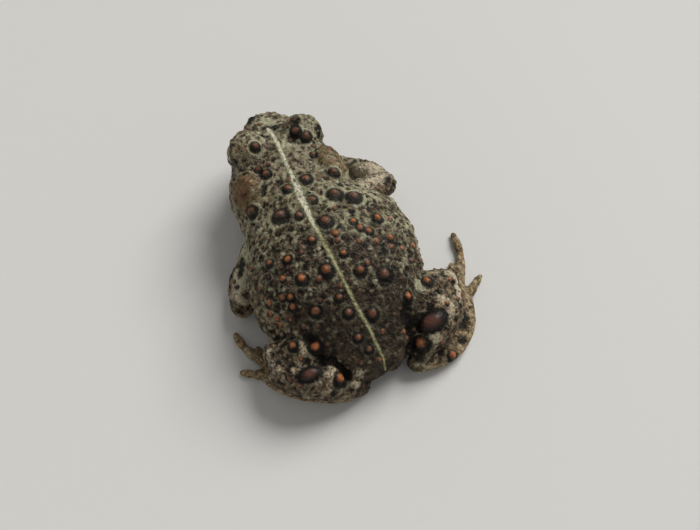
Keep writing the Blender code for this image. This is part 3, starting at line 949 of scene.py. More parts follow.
@dataclass(frozen=True)
class Patch:
    """A soft-edged patch of paint along a line of points, and how far the skin rises there."""

    mark: Mark
    line: tuple[Row, ...]
    radius: float
    bulge: float = 0.0
    strength: float = 1.0

    def distances(self, points: Points) -> Points:
        """How far each point lies from the patch's line.

        On each straight stretch of the line the nearest place is the foot of the
        perpendicular, held between the two ends.

        Args:
            points: The skin's points.

        Returns:
            The distances in millimetres.
        """
        rows = np.array(self.line)
        nearest = np.linalg.norm(points - rows[0], axis=1)
        for start, end in zip(rows, rows[1:]):
            stretch = end - start
            share = np.clip((points - start) @ stretch / (stretch @ stretch), 0, 1)
            away = np.linalg.norm(points - start - share[:, None] * stretch, axis=1)
            nearest = np.minimum(nearest, away)
        return nearest


PATCHES = (
    # On the snout, on and between the eyelids, and by the neck glands.
    Patch(Mark.PALE, ((1.0, -36.0, 20.0), (0.0, -34.5, 20.5)), 1.8),
    Patch(Mark.PALE, ((-3.5, -27.5, 22.0), (-1.5, -25.0, 22.0)), 1.3),
    Patch(Mark.PALE, ((3.5, -32.0, 21.0),), 0.8),
    Patch(Mark.BLACK, ((1.0, -33.0, 20.5),), 1.3),
    Patch(Mark.BLACK, ((-1.0, -32.0, 21.0),), 1.3),
    Patch(Mark.BLACK, ((3.5, -30.5, 21.5),), 0.7),
    Patch(Mark.BLACK, ((2.0, -29.5, 22.0),), 0.7),
    Patch(Mark.BLACK, ((4.0, -38.0, 19.0), (3.0, -39.0, 18.5)), 1.1, bulge=0.8),
    Patch(Mark.RUST, ((-4.5, -31.5, 22.5),), 1.6),
    Patch(Mark.RUST, ((9.5, -27.5, 23.5),), 2.5, strength=0.7),
    Patch(Mark.RUST, ((13.0, -18.0, 20.0), (14.0, -14.0, 19.0)), 2.4, strength=0.85),
    # Painted shade on the inner side of the right lid.
    Patch(
        Mark.BLACK,
        ((-6.0, -30.5, 24.0), (-5.5, -28.5, 24.0), (-4.5, -27.0, 23.5), (-3.5, -26.0, 22.0)),
        1.3,
        bulge=-0.3,
    ),
    Patch(Mark.BLACK, ((12.5, -26.0, 20.5),), 0.9),
    Patch(Mark.BLACK, ((-11.5, -27.0, 22.0), (-11.0, -26.0, 21.5), (-10.5, -25.0, 20.5)), 0.8),
    Patch(Mark.BLACK, ((9.0, -14.5, 22.5), (9.5, -12.5, 22.0)), 0.7, bulge=-0.2),
    Patch(Mark.BLACK, ((11.5, -21.0, 21.5),), 0.8),
    # The arms.
    Patch(Mark.PALE, ((-20.5, -20.0, 5.0), (-24.0, -17.5, 7.0)), 2.8),
    Patch(
        Mark.PALE,
        ((-17.0, -10.5, 12.5), (-21.0, -11.5, 11.5), (-24.5, -13.0, 9.5)),
        2.2,
        strength=0.75,
    ),
    Patch(Mark.PALE, ((-27.5, -15.0, 6.0),), 1.5),
    Patch(Mark.BLACK, ((-25.0, -11.5, 9.5),), 1.0),
    Patch(Mark.PALE, ((19.0, -5.0, 11.5),), 1.9, bulge=0.5),
    Patch(Mark.PALE, ((20.0, -2.5, 11.0), (23.5, 2.0, 9.0)), 2.8),
    Patch(Mark.BLACK, ((20.5, -3.0, 10.5), (22.5, 0.0, 10.0)), 1.1, bulge=-0.2),
    Patch(Mark.BLACK, ((24.0, 2.5, 8.5),), 0.9),
    Patch(Mark.PALE, ((25.0, 5.0, 8.0), (23.5, 7.0, 7.0)), 0.9),
    # The right hind leg.
    Patch(Mark.PALE, ((-17.0, 24.0, 15.0),), 1.7),
    Patch(
        Mark.PALE,
        ((-25.5, 22.5, 13.0), (-27.0, 24.5, 12.0), (-26.5, 27.0, 11.5), (-25.5, 30.0, 11.5)),
        0.8,
        bulge=0.4,
    ),
    Patch(Mark.PALE, ((-20.5, 28.5, 13.5), (-22.5, 31.5, 13.0)), 1.3, bulge=0.2, strength=0.75),
    Patch(Mark.PALE, ((-12.5, 34.0, 11.5), (-15.5, 37.0, 10.5)), 1.8, strength=0.8),
    Patch(Mark.PALE, ((-19.5, 34.0, 12.0), (-22.0, 33.0, 12.5)), 2.0, strength=0.75),
    Patch(Mark.BLACK, ((-26.0, 25.5, 12.5),), 0.8, bulge=-0.3),
    Patch(Mark.BLACK, ((-23.0, 25.0, 14.0),), 0.7),
    Patch(Mark.BLACK, ((-22.5, 34.5, 11.0),), 0.9),
    Patch(Mark.BLACK, ((-17.5, 29.5, 13.0),), 1.1),
    # Painted shade in the crevice where the right thigh meets the body.
    Patch(
        Mark.BLACK,
        ((-12.0, 28.0, 16.0), (-10.0, 30.0, 15.0), (-11.0, 31.5, 12.5), (-10.0, 33.0, 11.0)),
        1.5,
        bulge=-0.5,
    ),
    # Painted shade in the crevice between the hind end and the right leg.
    Patch(Mark.BLACK, ((-9.5, 36.0, 8.5), (-10.0, 38.5, 7.0)), 1.7, bulge=-0.5),
    # Painted shadow between the right shank and foot.
    Patch(
        Mark.BLACK,
        ((-28.5, 26.5, 4.0), (-27.5, 30.0, 3.5), (-27.0, 32.0, 3.0), (-25.5, 33.5, 3.5)),
        1.5,
        bulge=-0.3,
    ),
    Patch(Mark.BLACK, ((-23.5, 37.5, 3.5),), 1.2),
    Patch(Mark.BLACK, ((-16.5, 39.0, 5.0),), 1.0, bulge=-0.2),
    Patch(Mark.PALE, ((-9.5, 39.0, 5.0), (-12.5, 41.0, 3.5)), 1.4, strength=0.6),
    Patch(Mark.RUST, ((-22.0, 39.5, 3.0),), 1.1, bulge=0.3),
    Patch(Mark.RUST, ((-27.5, 28.5, 10.0),), 1.2),
    Patch(Mark.RUST, ((-11.0, 38.0, 9.0), (-12.5, 38.5, 8.0)), 1.2, strength=0.8),
    Patch(Mark.RUST, ((-24.5, 36.5, 6.0),), 1.0, bulge=0.2, strength=0.8),
    # The left hind leg.
    Patch(
        Mark.PALE,
        ((20.5, 20.0, 10.0), (22.5, 22.5, 11.5), (24.0, 25.0, 11.5), (24.0, 27.0, 10.5)),
        0.9,
        bulge=0.55,
        strength=0.62,
    ),
    Patch(Mark.PALE, ((24.0, 27.0, 10.5), (23.0, 30.0, 11.5)), 0.9, bulge=0.5, strength=0.6),
    Patch(
        Mark.PALE,
        ((16.0, 24.5, 15.5), (16.0, 27.0, 15.0), (16.5, 29.0, 14.0)),
        1.0,
        bulge=0.45,
        strength=0.65,
    ),
    Patch(Mark.BLACK, ((20.0, 30.0, 12.5),), 0.9, bulge=-0.2),
    Patch(Mark.BLACK, ((20.5, 24.5, 13.5),), 0.8, bulge=-0.2),
    Patch(Mark.BLACK, ((16.5, 31.0, 13.0),), 0.9, bulge=-0.2),
    # Painted shade in the crevice where the left thigh meets the body.
    Patch(Mark.BLACK, ((13.5, 26.5, 15.5), (13.0, 29.0, 15.0), (13.0, 32.0, 13.0)), 1.5, bulge=-0.5),
    # Painted shade in the crevice between the two lobes of the left heel.
    Patch(
        Mark.BLACK,
        ((13.0, 32.0, 13.0), (10.5, 33.0, 13.0), (8.5, 35.5, 11.0), (8.5, 37.5, 9.5)),
        1.1,
        bulge=-0.9,
        strength=0.85,
    ),
    Patch(Mark.PALE, ((11.5, 35.0, 12.5), (12.5, 36.5, 12.5)), 1.4, bulge=0.8, strength=0.7),
    Patch(Mark.PALE, ((6.0, 38.5, 11.0), (7.0, 39.5, 9.0)), 1.5, bulge=0.9),
    Patch(Mark.RUST, ((30.5, 23.0, 1.0),), 1.5),
)


@dataclass(frozen=True)
class Relief:
    """Sizes of the lumps, wrinkles and grains of loose skin."""

    lump_wave: float = 4.2
    lump_height: float = 0.3
    small_wave: float = 1.9
    small_height: float = 0.18
    wrinkle_waves: Row = (2.4, 1.3, 6.5)
    wrinkle_height: float = 0.55
    grain_size: float = 1.2
    grain_low: float = 0.08
    grain_range: float = 0.18
    # Grains with a tone below this are pits, on the dry skin of the body.
    pit_tone: float = 0.42
    pit_depth: float = 0.22
    parotoid_bulge: float = 0.55


@dataclass
class ToadSkin:
    """The one skin over head, trunk and limbs."""

    body: BodyForm = field(default_factory=BodyForm)
    head: HeadForm = field(default_factory=HeadForm)
    warts: WartPlan = field(default_factory=WartPlan)
    relief: Relief = field(default_factory=Relief)
    # Size of the remeshed cells, and how often the seams between the forms are filled.
    cell: float = 0.4
    filling_rounds: int = 44
    # Offset of the pale stripe's middle from the backbone, and its half width.
    stripe: tuple[Row, ...] = (
        (0.0, 0.8, 0.05),
        (8.5, 0.7, 0.1),
        (10.0, 0.5, 0.45),
        (15.0, 0.0, 0.45),
        (25.0, 0.0, 0.4),
        (30.0, 0.2, 0.6),
        (35.0, 0.6, 0.9),
        (40.0, 1.1, 0.65),
        (45.0, 1.6, 0.42),
        (55.0, 1.5, 0.34),
        (60.0, 1.1, 0.3),
        (65.0, 0.7, 0.3),
        (69.0, 0.1, 0.32),
        (73.0, -0.4, 0.3),
        (77.0, -0.4, 0.26),
        (81.0, -0.3, 0.2),
    )

    def shift(self) -> Points:
        """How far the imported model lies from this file's frame, read from the left eye.

        Returns:
            The offset in millimetres.
        """
        low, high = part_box("eye_left")
        middle = (np.array(low) + np.array(high)) / 2 / MM
        return middle - self.head.at(self.body, self.head.eye, Side.LEFT)

    def forms(self) -> Surface:
        """All lofts of the toad, still crossing one another.

        Returns:
            The closed surfaces in one list.
        """
        parts = [self.body.surface(), *self.head.surfaces(self.body)]
        parts += [limb.surface() for limb in LIMBS]
        for paw in PAWS:
            parts += paw.surfaces()
        return Surface.joined(parts)

    def fused(self) -> Surface:
        """One surface round all the lofts, remeshed to even cells, the loose scraps dropped.

        Returns:
            The surface, in faces of four corners.
        """
        rough = new_piece("rough_skin", self.forms().mesh("rough_skin", np.zeros(3)))
        remesh = rough.modifiers.new("fuse", "REMESH")
        remesh.mode = "VOXEL"
        remesh.voxel_size = self.cell * MM
        graph = bpy.context.evaluated_depsgraph_get()
        data = bpy.data.meshes.new_from_object(rough.evaluated_get(graph))
        points = np.empty(len(data.vertices) * 3)
        data.vertices.foreach_get("co", points)
        faces = np.empty(len(data.polygons) * 4, np.int32)
        data.polygons.foreach_get("vertices", faces)
        bpy.data.objects.remove(rough)
        bpy.data.meshes.remove(data)
        return largest_piece(Surface(points.reshape(-1, 3) / MM, faces.reshape(-1, 4)))

    def sculpted(self) -> tuple[Surface, Masks]:
        """The finished skin and the masks that its paint reads.

        Returns:
            The surface, and one value for each point under each mask's name.
        """
        skin = self.fused()
        edges = edges_of(skin.faces)
        relax(skin.points, edges, 6)
        self.fill_seams(skin, edges)
        normals = normals_of(skin)
        masks = self.zones(skin.points, normals)
        rise = self.raise_warts(skin.points, normals, masks)
        rise += self.folds(skin.points, masks)
        rise += self.mouth(skin.points, masks)
        rise += self.face(skin.points, masks)
        skin.points += normals * rise[:, None]
        self.open_eyes(skin.points, masks)
        skin.points[:, 2] = np.maximum(skin.points[:, 2], 0.0)
        # The hollowness becomes painted shade in the skin's creases.
        masks["crease_shade"] = hollows(skin.points, normals_of(skin), edges)
        return skin, masks

    def fill_seams(self, skin: Surface, edges: Edges) -> None:
        """Rounds out the grooves where the forms meet, fully on the head and less on the limbs.

        Where a point lies below the mean of its neighbours it moves out to it along the
        normal, round after round, so that grooves fill and ridges stay.

        Args:
            skin: The surface, changed in place.
            edges: Pairs of neighbouring points.
        """
        along, _ = self.body.own_places(skin.points)
        head = 1 - smoothstep(33.0, 38.0, along)
        limb = smoothstep(LIMB_START, LIMB_FULL, self.body.outside(skin.points))
        weight = np.maximum(0.25 + 0.75 * head - 0.2 * limb, 0.0)[:, None]
        for count in range(self.filling_rounds):
            if count % 4 == 0:
                normals = normals_of(skin)
            depth = np.sum((neighbour_mean(skin.points, edges) - skin.points) * normals, axis=1)
            skin.points += weight * normals * np.maximum(depth, 0.0)[:, None]
        relax(skin.points, edges, 3)

    def zones(self, points: Points, normals: Points) -> Masks:
        """Masks of the limbs, paws, belly, flanks, glands, stripe and patches.

        Args:
            points: The skin's points.
            normals: Their normals.

        Returns:
            One value for each point under each mask's name.
        """
        along, side = self.body.own_places(points)
        out = self.body.outside(points)
        level = points[:, 2]
        middle, width = smooth_columns(self.stripe, along).T
        aside = np.abs(side)
        limb = smoothstep(LIMB_START, LIMB_FULL, out)
        limb *= smoothstep(25.0, 31.0, along + 0.4 * aside)
        upright = normals[:, 2]
        parotoid = np.zeros(len(points))
        for each in Side:
            away = points - self.head.at(self.body, self.head.parotoid, each)
            share = np.linalg.norm(away / (4.2, 6.6, 5.0), axis=1)
            parotoid = np.maximum(parotoid, 1 - smoothstep(0.8, 1.25, share))
        masks = {
            "limb": limb,
            "paw": limb * (1 - smoothstep(3.0, 5.0, level)),
            "belly": (1 - smoothstep(-0.55, -0.1, upright)) * (1 - smoothstep(5.0, 9.0, level)),
            "flank": (1 - smoothstep(0.35, 0.75, upright)) * (1 - limb) * smoothstep(30.0, 40.0, along),
            "parotoid": parotoid,
            "rear": smoothstep(38.0, 52.0, along - 0.5 * np.maximum(-side, 0.0)),
            # Where the hind end is darkened with painted shade.
            "shaded_rump": smoothstep(59.0, 72.0, along) * (1 - limb * smoothstep(7.5, 10.0, aside)),
            "front": (1 - smoothstep(22.0, 36.0, along)) * (1 - limb),
            "stripe": np.where(out < 1.12, np.abs(side - middle) / width, FAR) + FAR * (level < 8),
        }
        for mark in Mark:
            value = np.zeros(len(points))
            for patch in PATCHES:
                if patch.mark is mark:
                    share = 1 - patch.distances(points) / (2 * patch.radius)
                    value = np.maximum(value, share * patch.strength)
            masks[mark.value] = np.maximum(value, 0.0)
        return masks

    def folds(self, points: Points, masks: Masks) -> Points:
        """Heights of the lumps, wrinkles and grain of loose skin.

        Sums of lattice noise make broad lumps everywhere, a lattice stretched in height
        makes upright wrinkles on the flanks, and each packed grain is a low mound or a pit.
        Some patches bulge or sink by a Gaussian.

        Args:
            points: The skin's points.
            masks: The zones so far, to which this adds its own.

        Returns:
            The heights.
        """
        size = self.relief
        calm = 1 - 0.6 * masks["paw"]
        lumps = size.lump_height * lattice_noise(points, size.lump_wave, 3)
        lumps += size.small_height * lattice_noise(points, size.small_wave, 4)
        waves = np.array(size.wrinkle_waves)
        wrinkles = size.wrinkle_height * lattice_noise(points, waves, 5) * masks["flank"]
        gap, tone = granules(points, size.grain_size, 7)
        masks["grain_gap"] = gap
        masks["grain_tone"] = tone
        dry = 1 - np.maximum(masks["limb"], masks["belly"])
        sunk = (tone < size.pit_tone) * dry
        calm *= smoothstep(0.7, 1.2, masks["gland"])
        mound = (size.grain_low + size.grain_range * tone) * (1 + 0.5 * masks["limb"])
        grain = smoothstep(0.0, 0.55, gap) * mound * (1 - sunk)
        grain -= size.pit_depth * sunk * smoothstep(0.05, 0.5, gap)
        bulge = size.parotoid_bulge * masks["parotoid"]
        for patch in PATCHES:
            if patch.bulge:
                bulge += patch.bulge * bell(patch.distances(points), patch.radius)
        return (lumps + wrinkles + grain) * calm + bulge

    def raise_warts(self, points: Points, normals: Points, masks: Masks) -> Points:
        """Heights of the warts and glands, with masks of their tips, dark rings and tones.

        A wart is a dome: its height times e to the minus power of the distance over the
        dome's width. The rings' middles lie a little behind the dome's, and the tips'
        middles a little towards the light in the photograph.

        Args:
            points: The skin's points.
            normals: Their normals.
            masks: The zones so far, to which this adds its own.

        Returns:
            The heights.
        """
        plan = self.warts
        placed = [(self.body.top_point(*row[:2]), row[2], row[3]) for row in plan.back]
        placed += [(np.array(row[:3]), row[3], row[4]) for row in plan.elsewhere]
        placed += self.scattered(points, normals, masks, placed)
        rise = np.zeros(len(points))
        tip = np.full(len(points), OFF_WART)
        ring = np.full(len(points), OFF_WART)
        tone = np.zeros(len(points))
        for centre, radius, orange in placed:
            nearest = points[np.argmin(np.sum((points - centre) ** 2, axis=1))]
            away = np.linalg.norm(points - nearest, axis=1) / radius
            dome = np.exp(-((away / plan.dome_width) ** plan.dome_power))
            rise = np.maximum(rise, plan.height * radius * dome)
            shade = nearest + (0.0, 0.25 * radius, -0.1 * radius)
            shaded = np.linalg.norm(points - shade, axis=1) / radius
            light = nearest - (0.08 * radius, 0.14 * radius, 0.0)
            lit = np.linalg.norm(points - light, axis=1) / radius
            lit *= 1.0 if radius > 0.95 else 0.8
            tone = np.where(lit < tip, orange, tone)
            tip = np.minimum(tip, lit)
            if orange >= 0:
                width = np.interp(radius, (0.8, 1.0, 1.7), (1.35, 1.0, 0.84))
                ring = np.minimum(ring, shaded * width)
        gland = np.full(len(points), OFF_WART)
        for x, y, z, radius in plan.glands:
            nearest = points[np.argmin(np.sum((points - (x, y, z)) ** 2, axis=1))]
            away = np.linalg.norm((points - nearest) / plan.gland_stretch, axis=1) / radius
            rise = np.maximum(rise, plan.gland_height * radius * (1 - smoothstep(0.3, 1.1, away)))
            gland = np.minimum(gland, away)
        masks.update(wart=tip, ring=ring, tone=tone, gland=gland)
        return rise

    def scattered(
        self, points: Points, normals: Points, masks: Masks, placed: list[Wart]
    ) -> list[Wart]:
        """Draws the small warts, each clear of those before it.

        Args:
            points: The skin's points.
            normals: Their normals.
            masks: The zones so far.
            placed: Point, radius and tone of each large wart.

        Returns:
            Point, radius and tone of each small wart.
        """
        plan = self.warts
        draw = np.random.RandomState(plan.seed)
        dry = (normals[:, 2] > -0.25) & (masks["paw"] < 0.5) & (points[:, 2] > plan.lowest)
        order = draw.permutation(np.flatnonzero(dry))[: plan.tries]
        centres = [row[0] for row in placed] + [np.array(row[:3]) for row in plan.glands]
        radii = [row[1] for row in placed] + [row[3] * 1.3 for row in plan.glands]
        found = []
        for index in order:
            radius = draw.uniform(*plan.small_radii) ** 1.3
            gaps = np.linalg.norm(np.array(centres) - points[index], axis=1) - np.array(radii)
            if gaps.min() < radius + plan.small_gap:
                continue
            centres.append(points[index])
            radii.append(radius)
            tone = draw.choice(plan.small_tones, p=plan.small_odds)
            found.append((points[index], radius, tone))
            if len(found) == plan.small_count:
                break
        return found

    def mouth(self, points: Points, masks: Masks) -> Points:
        """Heights of the line of the mouth, a groove between two lips.

        A narrow Gaussian valley along the line and a wider Gaussian crest on both sides.

        Args:
            points: The skin's points.
            masks: The zones so far, to which this adds its own.

        Returns:
            The heights.
        """
        line = self.head.mouth_line(self.body)
        rise = np.zeros(len(points))
        near = np.flatnonzero((points[:, 1] < SNOUT_Y + 26) & (points[:, 2] < 15))
        away = np.min(np.linalg.norm(points[near, None] - line[None], axis=2), axis=1)
        lip, lip_away, lip_width = self.head.lip
        depth, width = self.head.groove
        rise[near] = lip * bell(away, lip_width, lip_away) - depth * bell(away, width)
        # A dark line along the groove: painted shade.
        strength, dark_width = self.head.groove_dark
        masks["pit"] = np.zeros(len(points))
        masks["pit"][near] = strength * bell(away, dark_width)
        return rise

    def face(self, points: Points, masks: Masks) -> Points:
        """Heights of the nostrils, which are pits, and the eardrums, sunk discs with a rim.

        Args:
            points: The skin's points.
            masks: The zones so far, to which this adds its own.

        Returns:
            The heights.
        """
        head = self.head
        rise = np.zeros(len(points))
        pit = masks["pit"]
        rim, rim_away, rim_width = head.nostril_rim
        depth, width = head.nostril_pit
        edge, edge_away, edge_width = head.eardrum_rim
        for side in Side:
            away = np.linalg.norm(points - head.at(self.body, head.nostril, side), axis=1)
            rise += rim * bell(away, rim_width, rim_away) - depth * bell(away, width)
            # A dark spot in each nostril: painted shade.
            pit = np.maximum(pit, bell(away, head.nostril_dark))
            share = np.linalg.norm(points - head.at(self.body, head.eardrum, side), axis=1)
            share /= head.eardrum_radius
            disc = 1 - smoothstep(0.6, 0.95, share)
            rise += edge * bell(share, edge_width, edge_away) - head.eardrum_depth * disc
        masks["pit"] = pit
        return rise

    def open_eyes(self, points: Points, masks: Masks) -> None:
        """Pulls the skin under the eyeball within the opening of the lids.

        In angles about the eye's middle the opening is two half ellipses. Inside them the
        distance from the middle falls to less than the eyeball's radius, and just outside
        them it rises to the rim of the lid.

        Args:
            points: The skin's points, changed in place.
            masks: The zones so far, to which this adds its own.
        """
        head = self.head
        radius = head.eye_radius
        crest, crest_width = head.lid_crest
        dark, dark_width = head.lid_dark
        whole, gone = head.lid_fade
        lid = np.zeros(len(points))
        for side in Side:
            centre = head.at(self.body, head.eye, side)
            opening, reach = eye_opening(points - centre, side)
            local = 1 - smoothstep(radius + whole, radius + gone, reach)
            inside = smoothstep(*head.lid_edge, opening) * local
            rim = head.lid_rim * bell(opening, crest_width, crest)
            wanted = np.minimum(reach, radius + head.lid_thickness) + rim
            near = smoothstep(*head.lid_span, opening) * local
            target = reach * (1 - near) + wanted * near
            target = target * (1 - inside) + (radius - head.socket_depth) * inside
            points[:] = centre + (points - centre) * (target / np.maximum(reach, 1e-6))[:, None]
            # A dark line along the lid's edge: painted shade where it meets the eyeball.
            lid = np.maximum(lid, bell(opening, dark_width, dark) * local)
        masks["lid"] = lid

    def make(self, paint: SkinPaint) -> bpy.types.Object:
        """Builds the skin, stores its masks as attributes and paints it.

        Args:
            paint: The skin's finish.

        Returns:
            The skin.
        """
        surface, masks = self.sculpted()
        data = surface.mesh("skin", self.shift())
        dress(data, masks, paint.material())
        log.info("skin: %d faces, %d masks", len(data.polygons), len(masks))
        return new_piece("skin", data)


def eye_opening(away: Points, side: Side) -> tuple[Points, Points]:
    """How far inside the lids' opening each direction lies, in millimetres on the eyeball.

    Args:
        away: Points less the eye's middle.
        side: Which eye.

    Returns:
        The depth inside the opening, negative outside it, and the distance from the middle.
    """
    gaze, ahead, up = eye_axes(side)
    reach = np.linalg.norm(away, axis=1)
    front = away @ gaze
    across = np.arctan2(away @ ahead, front)
    height = np.arctan2(away @ up, front)
    half_height = np.where(height > 0, math.radians(OPEN_UP), math.radians(OPEN_DOWN))
    share = np.hypot(across / math.radians(OPEN_ACROSS), height / half_height)
    return (1 - share) * OPEN_REACH, reach


def eye_axes(side: Side) -> tuple[Points, Points, Points]:
    """The eye's outward, forward and upward directions.

    Args:
        side: Which eye.

    Returns:
        Three unit vectors.
    """
    gaze = np.array(GAZE) * (side.value, 1, 1)
    gaze /= np.linalg.norm(gaze)
    up = np.array([0.0, 0.0, 1.0]) - gaze * gaze[2]
    up /= np.linalg.norm(up)
    ahead = np.cross(gaze, up) * side.value
    return gaze, ahead, up


def edges_of(faces: Faces) -> Edges:
    """Each edge of the faces once, as a pair of point numbers."""
    pairs = np.stack([faces, np.roll(faces, -1, axis=1)], axis=-1).reshape(-1, 2)
    return np.unique(np.sort(pairs, axis=1), axis=0)


def neighbour_mean(values: Points, edges: Edges) -> Points:
    """The mean of each point's neighbours, by summing over the edges both ways.

    Args:
        values: A row of values for each point.
        edges: Pairs of neighbouring points.

    Returns:
        The means, row by row.
    """
    count = np.bincount(edges.ravel(), minlength=len(values))
    total = np.zeros_like(values)
    for column in range(values.shape[1]):
        total[:, column] = np.bincount(edges[:, 0], values[edges[:, 1], column], len(values))
        total[:, column] += np.bincount(edges[:, 1], values[edges[:, 0], column], len(values))
    return total / np.maximum(count, 1)[:, None]


def relax(points: Points, edges: Edges, rounds: int) -> None:
    """Smooths points in place, each round a step towards the neighbours and one back.

    Args:
        points: The points, changed in place.
        edges: Pairs of neighbouring points.
        rounds: How often.
    """
    for _ in range(rounds):
        for step in (0.5, -0.52):
            points += step * (neighbour_mean(points, edges) - points)


def normals_of(surface: Surface) -> Points:
    """Unit normals at the points, the sum of the cross products of the faces' diagonals.

    Args:
        surface: A surface of faces with four corners.

    Returns:
        The normals.
    """
    corners = surface.points[surface.faces]
    across = np.cross(corners[:, 2] - corners[:, 0], corners[:, 3] - corners[:, 1])
    normals = np.zeros_like(surface.points)
    for column in range(3):
        share = np.repeat(across[:, column], 4)
        normals[:, column] = np.bincount(surface.faces.ravel(), share, len(surface.points))
    return normals / np.maximum(np.linalg.norm(normals, axis=1), 1e-9)[:, None]


def hollows(points: Points, normals: Points, edges: Edges) -> Points:
    """How hollow the surface is at each point, from 0 to 1.

    The neighbours' mean less the point, along the normal, is above zero in a fold. It is
    spread over a few rings of neighbours, so that a fold's painted shade reaches past its line.

    Args:
        points: The skin's points.
        normals: Their normals.
        edges: Pairs of neighbouring points.

    Returns:
        The hollowness of each point.
    """
    depth = np.sum((neighbour_mean(points, edges) - points) * normals, axis=1)[:, None]
    for _ in range(4):
        depth = 0.4 * depth + 0.6 * neighbour_mean(depth, edges)
    return np.clip(depth[:, 0] / 0.05, 0, 1)


def largest_piece(surface: Surface) -> Surface:
    """Keeps the largest connected piece of a surface.

    Each point takes the lowest number among its neighbours, and the numbers are followed to
    their roots, until nothing changes.

    Args:
        surface: A surface that may be in several pieces.

    Returns:
        The surface without its loose scraps.
    """
    edges = edges_of(surface.faces)
    label = np.arange(len(surface.points))
    while True:
        before = label.copy()
        low = np.minimum(label[edges[:, 0]], label[edges[:, 1]])
        np.minimum.at(label, edges[:, 0], low)
        np.minimum.at(label, edges[:, 1], low)
        label = label[label]
        if np.array_equal(before, label):
            break
    kept = label == np.argmax(np.bincount(label))
    number = np.cumsum(kept) - 1
    faces = surface.faces[kept[surface.faces[:, 0]]]
    return Surface(surface.points[kept], number[faces].astype(np.int32))


# Materials


Socket = bpy.types.NodeSocket
Colour = tuple[float, float, float]


class Painter:
    """Lays nodes in one tree and joins them."""

    def __init__(self, tree: bpy.types.NodeTree) -> None:
        """Clears the tree."""
        self.tree = tree
        tree.nodes.clear()

    def put(self, kind: str, **inputs: object) -> bpy.types.Node:
        """Adds a node and sets or links its inputs.

        Args:
            kind: The node's type name.
            inputs: A value or a socket for each input, by its name with spaces as underscores.

        Returns:
            The node.
        """
        node = self.tree.nodes.new(kind)
        for name, value in inputs.items():
            self.feed(node.inputs[name.replace("_", " ")], value)
        return node

    def feed(self, target: Socket, value: object) -> None:
        """Links a socket to an input, or sets the input's own value.

        Args:
            target: The input.
            value: A socket or a plain value.
        """
        if isinstance(value, bpy.types.NodeSocket):
            self.tree.links.new(value, target)
        else:
            target.default_value = value

    def mask(self, name: str) -> Socket:
        """A mask that the mesh carries.

        Args:
            name: The attribute's name.

        Returns:
            Its value.
        """
        node = self.put("ShaderNodeAttribute")
        node.attribute_name = name
        return node.outputs["Fac"]

    def maths(self, operation: str, first: object, second: object = 0.0) -> Socket:
        """The result of one operation on two numbers.

        Args:
            operation: The node's operation.
            first: A socket or a number.
            second: A socket or a number.

        Returns:
            The result.
        """
        node = self.put("ShaderNodeMath")
        node.operation = operation
        self.feed(node.inputs[0], first)
        self.feed(node.inputs[1], second)
        return node.outputs[0]

    def times(self, first: Socket, second: Socket | float) -> Socket:
        """The product of two numbers."""
        return self.maths("MULTIPLY", first, second)

    def step(self, value: Socket, low: float, high: float) -> Socket:
        """A smooth step from 0 at low to 1 at high, either way round.

        Args:
            value: What is measured.
            low: Where the step starts.
            high: Where it ends.

        Returns:
            The height of the step.
        """
        node = self.put("ShaderNodeMapRange", Value=value, From_Min=low, From_Max=high)
        node.interpolation_type = "SMOOTHSTEP"
        return node.outputs["Result"]

    def spared(self, share: Socket) -> Socket:
        """One less a share."""
        return self.maths("SUBTRACT", 1.0, share)

    def noise(
        self, place: Socket, scale: float, detail: float = 3.0, roughness: float = 0.55
    ) -> Socket:
        """Fractal noise, with its scale in waves for each millimetre."""
        sizes = {"Scale": scale, "Detail": detail, "Roughness": roughness}
        return self.put("ShaderNodeTexNoise", Vector=place, **sizes).outputs["Fac"]

    def cells(self, place: Socket, scale: float, feature: str) -> Socket:
        """Distances in a field of random cells, with the scale in cells for each millimetre.

        Args:
            place: Where it is read.
            scale: Cells for each millimetre.
            feature: Which of the node's distances is read.

        Returns:
            The distance.
        """
        node = self.put("ShaderNodeTexVoronoi", Vector=place, Scale=scale)
        node.feature = feature
        return node.outputs["Distance"]

    def blend(self, share: Socket, under: object, over: object) -> Socket:
        """A colour laid over another by a mask.

        Args:
            share: How much of the upper colour shows.
            under: A socket or a colour.
            over: A socket or a colour.

        Returns:
            The blended colour.
        """
        node = self.tree.nodes.new("ShaderNodeMix")
        node.data_type = "RGBA"
        sockets = [socket for socket in node.inputs if socket.type == "RGBA"]
        self.feed(node.inputs["Factor"], share)
        for socket, value in zip(sockets, (under, over)):
            self.feed(socket, value if isinstance(value, bpy.types.NodeSocket) else (*value, 1.0))
        return next(socket for socket in node.outputs if socket.type == "RGBA")

    def place(self, scale: float = 1 / MM) -> Socket:
        """Object coordinates in millimetres."""
        coordinates = self.put("ShaderNodeTexCoord").outputs["Object"]
        return self.put("ShaderNodeMapping", Vector=coordinates, Scale=(scale,) * 3).outputs["Vector"]

    def finish(self, shader: bpy.types.Node) -> None:
        """Joins a shader to the material's output."""
        result = self.put("ShaderNodeOutputMaterial")
        self.feed(result.inputs["Surface"], shader.outputs["BSDF"])


def blank_material(name: str) -> tuple[bpy.types.Material, Painter]:
    """Makes a material without nodes.

    Args:
        name: The material's name.

    Returns:
        The material and the painter of its nodes.
    """
    material = bpy.data.materials.new(name)
    material.use_nodes = True
    return material, Painter(material.node_tree)


